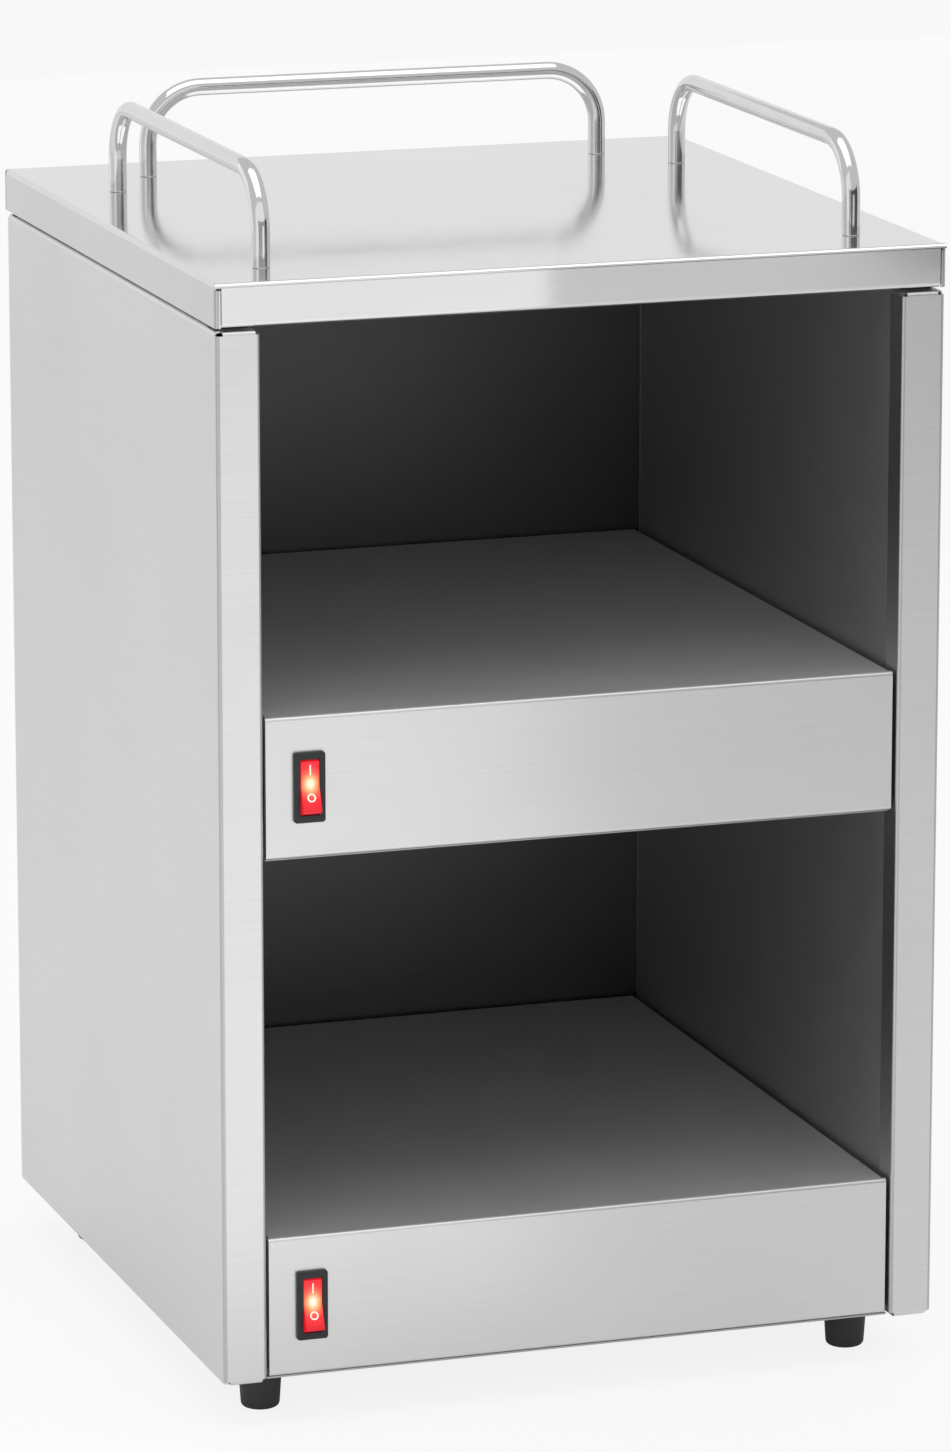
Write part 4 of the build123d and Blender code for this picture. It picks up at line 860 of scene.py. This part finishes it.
@dataclass
class Switch:
    """One rocker switch: a moulded bezel with its well, the lit lens and its two marks."""

    tier: str
    bezel_depth: float = 2.0 * MM
    bezel_corner: float = 1.3 * MM
    bezel_corner_steps: int = 8
    bezel_edge: float = 0.5 * MM
    bezel_edge_steps: int = 4
    corner_merge: float = 0.1 * MM
    side_frame: float = 2.6 * MM
    end_frame: float = 3.1 * MM
    well_depth: float = 8.3 * MM
    body_width: float = 12.0 * MM
    pivot_depth: float = 1.0 * MM
    travel: float = 22.0
    lens_width: float = 8.4 * MM
    lens_radius: float = 12.2 * MM
    lens_face: float = 3.2 * MM
    lens_skirt: float = 2.0 * MM
    lens_wall: float = 1.1 * MM
    lens_edge: float = 0.45 * MM
    lens_edge_steps: int = 4
    lens_sides: int = 192
    mark_line: float = 0.6 * MM
    mark_height: float = 4.6 * MM
    bar_rounding: float = 0.49
    bar_steps: int = 5
    ring_radius: float = 1.9 * MM
    ring_sides: int = 48
    bar_place: float = 7.1 * MM
    ring_place: float = 4.9 * MM
    glow_rise: float = 1.7 * MM
    mark_proud: float = 0.04 * MM

    def __post_init__(self) -> None:
        """Reads the switch's place from the frame."""
        low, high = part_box(self.tier + "_switch_housing")
        self.low = low
        self.high = high
        self.face = low.y + self.bezel_depth
        self.pivot = Vector(((low.x + high.x) / 2, self.face + self.pivot_depth, (low.z + high.z) / 2))

    def housing(self) -> Piece:
        """Models the bezel, the well in it and the body behind the fascia."""
        low, high = self.low, self.high
        piece = Bench.box(self.tier + "_switch_bezel", low, Vector((high.x, self.face, high.z)))
        front = low.y + NEAR
        Bench.round_edges(piece, runs_back, self.bezel_corner, self.bezel_corner_steps)
        Bench.round_edges(piece, lambda middle, _: middle.y < front, self.bezel_edge, self.bezel_edge_steps)
        Bench.pick(piece, Kind.FACE, lambda middle, normal: normal.y < -FACING and middle.y < front)
        bpy.ops.mesh.inset(thickness=self.bezel_corner - self.bezel_edge)
        bpy.ops.mesh.remove_doubles(threshold=self.corner_merge)
        width, height = high.x - low.x, high.z - low.z
        narrow = (width - 2 * self.side_frame) / (width - 2 * self.bezel_corner)
        lower = (height - 2 * self.end_frame) / (height - 2 * self.bezel_corner)
        bpy.ops.transform.resize(value=(narrow, 1.0, lower))
        Bench.push(BACKWARDS * self.well_depth)
        face = self.face + NEAR
        Bench.pick(piece, Kind.FACE, lambda middle, normal: normal.y > FACING and middle.y < face)
        bpy.ops.mesh.inset(thickness=(width - self.body_width) / 2)
        Bench.push(BACKWARDS * (high.y - self.face))
        return Bench.clean(piece, angle=35.0)

    def lens(self) -> Piece:
        """Models the rocker: a disc cut to its section, pushed wide, rounded, hollowed and tilted."""
        lean = math.radians(self.travel / 2)
        half = self.lens_width / 2
        name = self.tier + "_rocker_lens"
        piece = Bench.disc(name, Vector(), self.lens_radius, self.lens_sides, (0.0, QUARTER, 0.0))
        bpy.ops.mesh.bisect(plane_co=BACKWARDS * self.lens_skirt, plane_no=BACKWARDS, clear_outer=True)
        Bench.take_all()
        bpy.ops.mesh.bisect(plane_co=(0.0, 0.0, 0.0), plane_no=UP)
        Bench.pick(piece, Kind.FACE, lambda middle, normal: middle.z > 0)
        bpy.ops.mesh.split()
        for side in (-1.0, 1.0):
            outward = Vector((0.0, -math.cos(lean), -side * math.sin(lean)))
            Bench.pick(piece, Kind.FACE, lambda middle, normal: middle.z * side > 0)
            bpy.ops.mesh.bisect(
                plane_co=BACKWARDS * -self.lens_face, plane_no=outward, clear_outer=True, threshold=MERGE
            )
        Bench.take_all()
        bpy.ops.mesh.remove_doubles(threshold=MERGE)
        Bench.push(RIGHT * self.lens_width)
        Bench.take_all()
        bpy.ops.transform.translate(value=RIGHT * -half)
        Bench.mend()

        def is_rim(middle: Vector, along: Vector) -> bool:
            """Whether an edge lies on the outline of the front."""
            on_side = abs(abs(middle.x) - half) < NEAR
            in_front = middle.y < -self.lens_face + NEAR
            return in_front and (on_side or (abs(along.x) > ALONG and abs(middle.z) > MM))

        Bench.round_edges(piece, is_rim, self.lens_edge, self.lens_edge_steps)
        Bench.pick(piece, Kind.FACE, lambda middle, normal: normal.y > FACING)
        bpy.ops.mesh.inset(thickness=self.lens_wall)
        Bench.push(BACKWARDS * (self.lens_wall - self.lens_face - self.lens_skirt))
        Bench.clean(piece, angle=30.0)
        piece.data.transform(self.tilt())
        return piece

    def tilt(self) -> Matrix:
        """The place of the rocker's own frame at rest, with its upper end pressed in."""
        return Matrix.Translation(self.pivot) @ Matrix.Rotation(math.radians(-self.travel / 2), 4, "X")

    def mark_spot(self, rise: float) -> Matrix:
        """The place of a mark on a flat, its face along -Y.

        Args:
            rise: how far it is above the crease of the lens, less than 0 on the lower flat.
        """
        lean = math.radians(self.travel / 2)
        side = math.copysign(1.0, rise)
        spot = Vector((0.0, -self.lens_face - math.tan(lean) * abs(rise), rise))
        return self.tilt() @ Matrix.Translation(spot) @ Matrix.Rotation(side * lean, 4, "X")

    def bar(self) -> Piece:
        """Models the I: a bar with rounded ends, printed on the upper flat."""
        half = Vector((self.mark_line / 2, self.mark_proud, self.mark_height / 2))
        piece = Bench.box(self.tier + "_on_mark", -half, half)
        Bench.round_edges(piece, runs_back, self.mark_line * self.bar_rounding, self.bar_steps)
        Bench.clean(piece)
        piece.data.transform(self.mark_spot(self.bar_place))
        return piece

    def ring(self) -> Piece:
        """Models the O: a disc inset and opened to a ring, printed on the lower flat."""
        name = self.tier + "_off_mark"
        piece = Bench.disc(name, Vector(), self.ring_radius, self.ring_sides, (QUARTER, 0.0, 0.0))
        bpy.ops.mesh.inset(thickness=self.mark_line)
        bpy.ops.mesh.delete(type="FACE")
        Bench.take_all()
        Bench.push(BACKWARDS * (-2 * self.mark_proud))
        Bench.take_all()
        bpy.ops.transform.translate(value=BACKWARDS * self.mark_proud)
        Bench.clean(piece)
        piece.data.transform(self.mark_spot(-self.ring_place))
        return piece

    def build(self, shop: Workshop) -> None:
        """Models the switch's pieces and puts each on its body."""
        rocker = self.tier + "_rocker"
        name = self.tier + "_switch_"
        shop.hand_over(self.housing(), "cabinet", "bezel_plastic", (name + "housing",))
        glow = self.pivot - BACKWARDS * self.lens_face + UP * self.glow_rise
        lens = LitLens(self.tier + "_rocker_lens", glow)
        shop.finishes[lens.name] = lens.make()
        shop.hand_over(self.lens(), rocker, lens.name, (name + "rocker",))
        for mark in (self.bar(), self.ring()):
            shop.hand_over(mark, rocker, "mark_paint")


@dataclass(frozen=True)
class ScrewField:
    """A field of equal screws: its node, the sheet that it is driven into, and its rows."""

    node: str
    sheet: str
    facing: Facing
    columns: int
    rows: int


@dataclass
class Fasteners:
    """The pan-head screws that show, each with a cross recess."""

    head_radius: float = 4.0 * MM
    head_height: float = 2.4 * MM
    head_edge: float = 1.1 * MM
    head_edge_steps: int = 5
    head_sides: int = 40
    shank_radius: float = 1.9 * MM
    shank_length: float = 6.0 * MM
    recess_reach: float = 2.2 * MM
    recess_width: float = 0.42
    recess_floor: float = 0.3
    recess_depth: float = 1.5 * MM
    twist: float = 37.0
    fields: tuple[ScrewField, ...] = (
        ScrewField("back_panel_screws", "back_panel", Facing.BACK, 2, 4),
        ScrewField("cover_screws", "top_cover", Facing.BACK, 3, 1),
        ScrewField("base_screws", "left_side_panel", Facing.DOWN, 2, 3),
        ScrewField("lower_shelf_screws", "base_plate", Facing.DOWN, 3, 2),
        ScrewField("underside_screws", "upper_shelf_underside", Facing.DOWN, 3, 2),
    )

    def screw(self) -> Piece:
        """Models one screw, its head standing on the origin."""
        piece = Bench.drum("screw", Vector(), self.head_radius, self.head_height, self.head_sides)
        Bench.round_edges(piece, rim_above(self.head_height - NEAR), self.head_edge, self.head_edge_steps)
        Bench.pick(piece, Kind.FACE, lambda middle, normal: normal.z < -FACING)
        bpy.ops.mesh.inset(thickness=self.head_radius - self.shank_radius)
        Bench.push(-UP * self.shank_length)
        Bench.clear()
        for turn in (0.0, 90.0):
            bpy.ops.mesh.primitive_cone_add(
                vertices=4,
                radius1=self.recess_floor * self.recess_reach,
                radius2=self.recess_reach,
                depth=2 * self.recess_depth,
                location=UP * self.head_height,
                rotation=(0.0, 0.0, math.radians(turn)),
                scale=(1.0, self.recess_width, 1.0),
            )
            Bench.join(piece, Bench.started("recess"), Joining.CUT)
        return Bench.clean(piece, angle=35.0)

    def places(self, row: ScrewField) -> list[Matrix]:
        """The place of each screw of a field, from its node's box and the sheet under the heads."""
        low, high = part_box(row.node)
        sheet_low, sheet_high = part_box(row.sheet)
        edge = Vector((self.head_radius,) * 3)
        low, high = low + edge, high - edge
        spots = []
        for column in range(row.columns):
            for line in range(row.rows):
                x = low.x + (high.x - low.x) * column / (row.columns - 1)
                share = line / (row.rows - 1) if row.rows > 1 else HALF
                if row.facing is Facing.BACK:
                    spot = Vector((x, sheet_high.y, low.z + (high.z - low.z) * share))
                    turn = Matrix.Rotation(-QUARTER, 4, "X")
                else:
                    spot = Vector((x, low.y + (high.y - low.y) * share, sheet_low.z))
                    turn = Matrix.Rotation(2 * QUARTER, 4, "X")
                twist = Matrix.Rotation(math.radians(self.twist * (column + 2 * line)), 4, "Z")
                spots.append(Matrix.Translation(spot) @ turn @ twist)
        return spots

    def build(self, shop: Workshop) -> None:
        """Models a screw and copies it into each field."""
        screw = self.screw()
        for row in self.fields:
            piece = Bench.copies(screw, "crosshead_" + row.node, self.places(row))
            shop.hand_over(piece, "cabinet", "fastener_steel", (row.node,))
        bpy.data.objects.remove(screw)


@dataclass
class CordGland:
    """The gland in the back panel that a cord goes through."""

    hex_radius: float = 9.4 * MM
    hex_height: float = 3.0 * MM
    hex_edge: float = 0.3 * MM
    hex_edge_steps: int = 2
    sides: int = 48
    dome_radius: float = 7.6 * MM
    dome_edge: float = 2.4 * MM
    dome_edge_steps: int = 6
    flute_every: int = 3
    flute_inset: float = 0.12 * MM
    flute_depth: float = 0.45 * MM
    thread_radius: float = 6.0 * MM
    bore_radius: float = 3.7 * MM
    bore_edge: float = 0.5 * MM
    bore_sides: int = 40

    def flange(self) -> Piece:
        """Models the hexagon, its outer rim bevelled, standing on the panel."""
        piece = Bench.drum("rear_cord_gland", Vector(), self.hex_radius, self.hex_height, 6)
        piece.data.transform(Matrix.Rotation(math.radians(30.0), 4, "Z"))
        Bench.round_edges(piece, rim_above(self.hex_height - NEAR), self.hex_edge, self.hex_edge_steps)
        return Bench.clean(piece)

    def dome(self, reach: float) -> Piece:
        """Models the clamping nut: a round-shouldered drum with flutes for the fingers."""
        low = self.hex_height / 2
        dome = Bench.drum("dome", UP * low, self.dome_radius, reach - low, self.sides)

        def is_flute(middle: Vector, normal: Vector) -> bool:
            """Whether a face is one of every few round the side."""
            turn = round(math.atan2(normal.y, normal.x) / math.tau * self.sides - HALF)
            return abs(normal.z) < ACROSS and turn % self.flute_every == 0

        Bench.round_edges(dome, rim_above(reach - NEAR), self.dome_edge, self.dome_edge_steps)
        Bench.pick(dome, Kind.FACE, is_flute)
        bpy.ops.mesh.inset(thickness=self.flute_inset, depth=-self.flute_depth, use_individual=True)
        return Bench.clean(dome, angle=35.0)

    def bore(self, reach: float, tail: float) -> Piece:
        """Models the bore's shape, wider at its outer mouth."""
        length = reach + tail + MM - self.bore_edge
        bore = Bench.drum("bore", UP * -(tail + MM), self.bore_radius, length, self.bore_sides)
        Bench.pick(bore, Kind.FACE, lambda middle, normal: normal.z > FACING)
        Bench.push(UP * (2 * self.bore_edge))
        share = 1.0 + 2 * self.bore_edge / self.bore_radius
        bpy.ops.transform.resize(value=(share, share, 1.0))
        return Bench.clean(bore)

    def build(self, shop: Workshop) -> None:
        """Models the gland upright on the origin and turns it into the back panel."""
        low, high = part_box("cord_gland")
        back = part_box("back_panel")[1].y
        reach = high.y - back
        tail = back - low.y
        piece = self.flange()
        Bench.join(piece, self.dome(reach), Joining.ADD)
        length = tail + self.hex_height / 2
        thread = Bench.drum("thread", UP * -tail, self.thread_radius, length, self.sides)
        Bench.join(piece, thread, Joining.ADD)
        Bench.join(piece, self.bore(reach, tail), Joining.CUT)
        Bench.clean(piece, angle=35.0)
        turn = Matrix.Rotation(-QUARTER, 4, "X")
        piece.data.transform(Matrix.Translation(((low.x + high.x) / 2, back, (low.z + high.z) / 2)) @ turn)
        shop.hand_over(piece, "cabinet", "gland_plastic", ("cord_gland",))


@dataclass(frozen=True)
class Lamp:
    """A soft box: its place, the point that it faces, its width and height, and how bright its face is."""

    name: str
    place: Place
    target: Place
    size: tuple[float, float]
    level: float


@dataclass(frozen=True)
class Screen:
    """A dark curved screen: its two ends in degrees from +X, and the height of its lower edge."""

    name: str
    first: float
    last: float
    low: float


@dataclass
class Studio:
    """The floor, the soft light and the camera of the photograph."""

    camera_place: Place = (-1.038, -3.092, 1.024)
    camera_yaw: float = 18.67
    camera_pitch: float = 13.06
    camera_reach: float = 200.0
    sensor: float = 36.0
    focal_pixels: float = 7367.0
    image_height: float = 1452.0
    floor_size: float = 60.0
    floor_colour: Colour = (0.93, 0.93, 0.93)
    floor_darkest: float = 0.995
    floor_grain: float = 3.0
    floor_roughness: float = 0.9
    camera_glow: float = 0.85
    metal_glow: float = 0.15
    world_level: float = 0.62
    cloth_dark: Colour = (0.08, 0.08, 0.08)
    cloth_pale: Colour = (0.10, 0.10, 0.10)
    cloth_grain: float = 400.0
    screen_radius: float = 2.5
    screen_sides: int = 96
    screen_top: float = 0.99
    screens: tuple[Screen, ...] = (
        Screen("left_screen", 228.0, 272.0, 0.12),
        Screen("screen_bridge", 272.0, 293.5, 0.66),
        Screen("right_screen", 293.5, 334.0, 0.12),
    )
    lamps: tuple[Lamp, ...] = (
        Lamp("front", (-0.4, -0.36, 0.37), (-0.4, 0.0, 0.37), (0.9, 0.78), 0.285),
        Lamp("left", (-1.3, 1.2, 0.7), (-0.2, 0.0, 0.3), (1.0, 1.0), 0.32),
        Lamp("behind", (0.0, 3.8, 1.0), (0.0, 0.0, 0.5), (4.6, 2.0), 0.22),
        Lamp("above", (0.0, -0.3, 2.6), (0.0, 0.0, 0.5), (2.4, 2.4), 0.9),
    )

    def camera(self) -> None:
        """Sets the camera at the photograph's viewing angle."""
        data = bpy.data.cameras.new("photo_camera")
        data.sensor_width = self.sensor
        data.lens = self.sensor * self.focal_pixels / self.image_height
        data.clip_end = self.camera_reach
        camera = bpy.data.objects.new("photo_camera", data)
        camera.location = self.camera_place
        camera.rotation_euler = (math.radians(90.0 - self.camera_pitch), 0.0, math.radians(-self.camera_yaw))
        bpy.context.scene.collection.objects.link(camera)
        bpy.context.scene.camera = camera

    def floor(self) -> None:
        """Lays a pale floor that glows a little, so that it stays nearly white to the camera."""
        Bench.clear()
        bpy.ops.mesh.primitive_plane_add(size=self.floor_size)
        floor = Bench.started("floor")
        graph = Graph("floor_paper")
        path = graph.node("ShaderNodeLightPath")
        by_camera = Value(graph, path.outputs["Is Camera Ray"]) * self.camera_glow
        by_metal = Value(graph, path.outputs["Is Glossy Ray"]) * self.metal_glow
        grain = graph.noise(graph.place(), self.floor_grain)
        paper = graph.blend(grain, shade(self.floor_colour, self.floor_darkest), self.floor_colour)
        graph.set(base_color=paper, roughness=self.floor_roughness)
        glow = graph.node("ShaderNodeEmission", {}, {"Color": WHITE, "Strength": 1.0})
        shaders = {0: by_camera + by_metal, 1: graph.shader.outputs[0], 2: glow.outputs[0]}
        mixed = graph.node("ShaderNodeMixShader", {}, shaders)
        graph.feed(graph.output.inputs["Surface"], mixed.outputs[0])
        floor.data.materials.append(graph.material)

    def world(self) -> None:
        """Surrounds the object with plain soft light, white to the camera."""
        world = bpy.data.worlds.new("studio")
        bpy.context.scene.world = world
        world.use_nodes = True
        tree = world.node_tree
        background = tree.nodes["Background"]
        background.inputs["Color"].default_value = WHITE
        level = tree.nodes.new("ShaderNodeMapRange")
        level.inputs["To Min"].default_value = self.world_level
        level.inputs["To Max"].default_value = 1.0
        path = tree.nodes.new("ShaderNodeLightPath")
        tree.links.new(path.outputs["Is Camera Ray"], level.inputs["Value"])
        tree.links.new(level.outputs["Result"], background.inputs["Strength"])

    def stand(self, screen: Screen) -> None:
        """Stands a screen far off in front, for the dark bands of the rods."""
        Bench.clear()
        bpy.ops.mesh.primitive_cylinder_add(
            vertices=self.screen_sides,
            radius=self.screen_radius,
            depth=self.screen_top - screen.low,
            end_fill_type="NOTHING",
            location=UP * (self.screen_top + screen.low) / 2,
        )
        sheet = Bench.started(screen.name)
        for turn in (screen.first - 90.0, screen.last + 90.0):
            Bench.take_all()
            outward = Matrix.Rotation(math.radians(turn), 4, "Z") @ RIGHT
            bpy.ops.mesh.bisect(plane_co=(0.0, 0.0, 0.0), plane_no=outward, clear_outer=True)
        Bench.clear()
        self.darken(sheet)

    def darken(self, sheet: Piece) -> None:
        """Makes a screen dark and seen by reflections alone."""
        graph = Graph(sheet.name + "_cloth")
        grain = graph.noise(graph.place(), self.cloth_grain)
        graph.set(base_color=graph.blend(grain, self.cloth_dark, self.cloth_pale), roughness=1.0)
        sheet.data.materials.append(graph.material)
        sheet.visible_camera = False
        sheet.visible_diffuse = False
        sheet.visible_shadow = False

    @staticmethod
    def hang(lamp: Lamp) -> None:
        """Hangs a soft box that the camera doesn't see."""
        data = bpy.data.lights.new(lamp.name, "AREA")
        data.shape = "RECTANGLE"
        data.size, data.size_y = lamp.size
        data.energy = lamp.level * math.pi * math.prod(lamp.size)
        light = bpy.data.objects.new(lamp.name, data)
        light.location = lamp.place
        heading = Vector(lamp.target) - Vector(lamp.place)
        light.rotation_euler = heading.to_track_quat("-Z", "Y").to_euler()
        light.visible_camera = False
        bpy.context.scene.collection.objects.link(light)

    def build(self) -> None:
        """Sets up the camera, the floor, the light and the screens."""
        self.camera()
        self.floor()
        self.world()
        for lamp in self.lamps:
            self.hang(lamp)
        for screen in self.screens:
            self.stand(screen)
        bpy.context.scene.view_settings.view_transform = "Standard"


def main() -> None:
    """Builds the studio and the object."""
    logging.basicConfig(level=logging.INFO, format="%(name)s: %(message)s")
    Studio().build()
    shop = Workshop()
    Cabinet().build(shop)
    Gallery().build(shop)
    Feet().build(shop)
    for tier in ("lower", "upper"):
        Switch(tier).build(shop)
    Fasteners().build(shop)
    CordGland().build(shop)


if __name__ == "__main__":
    main()
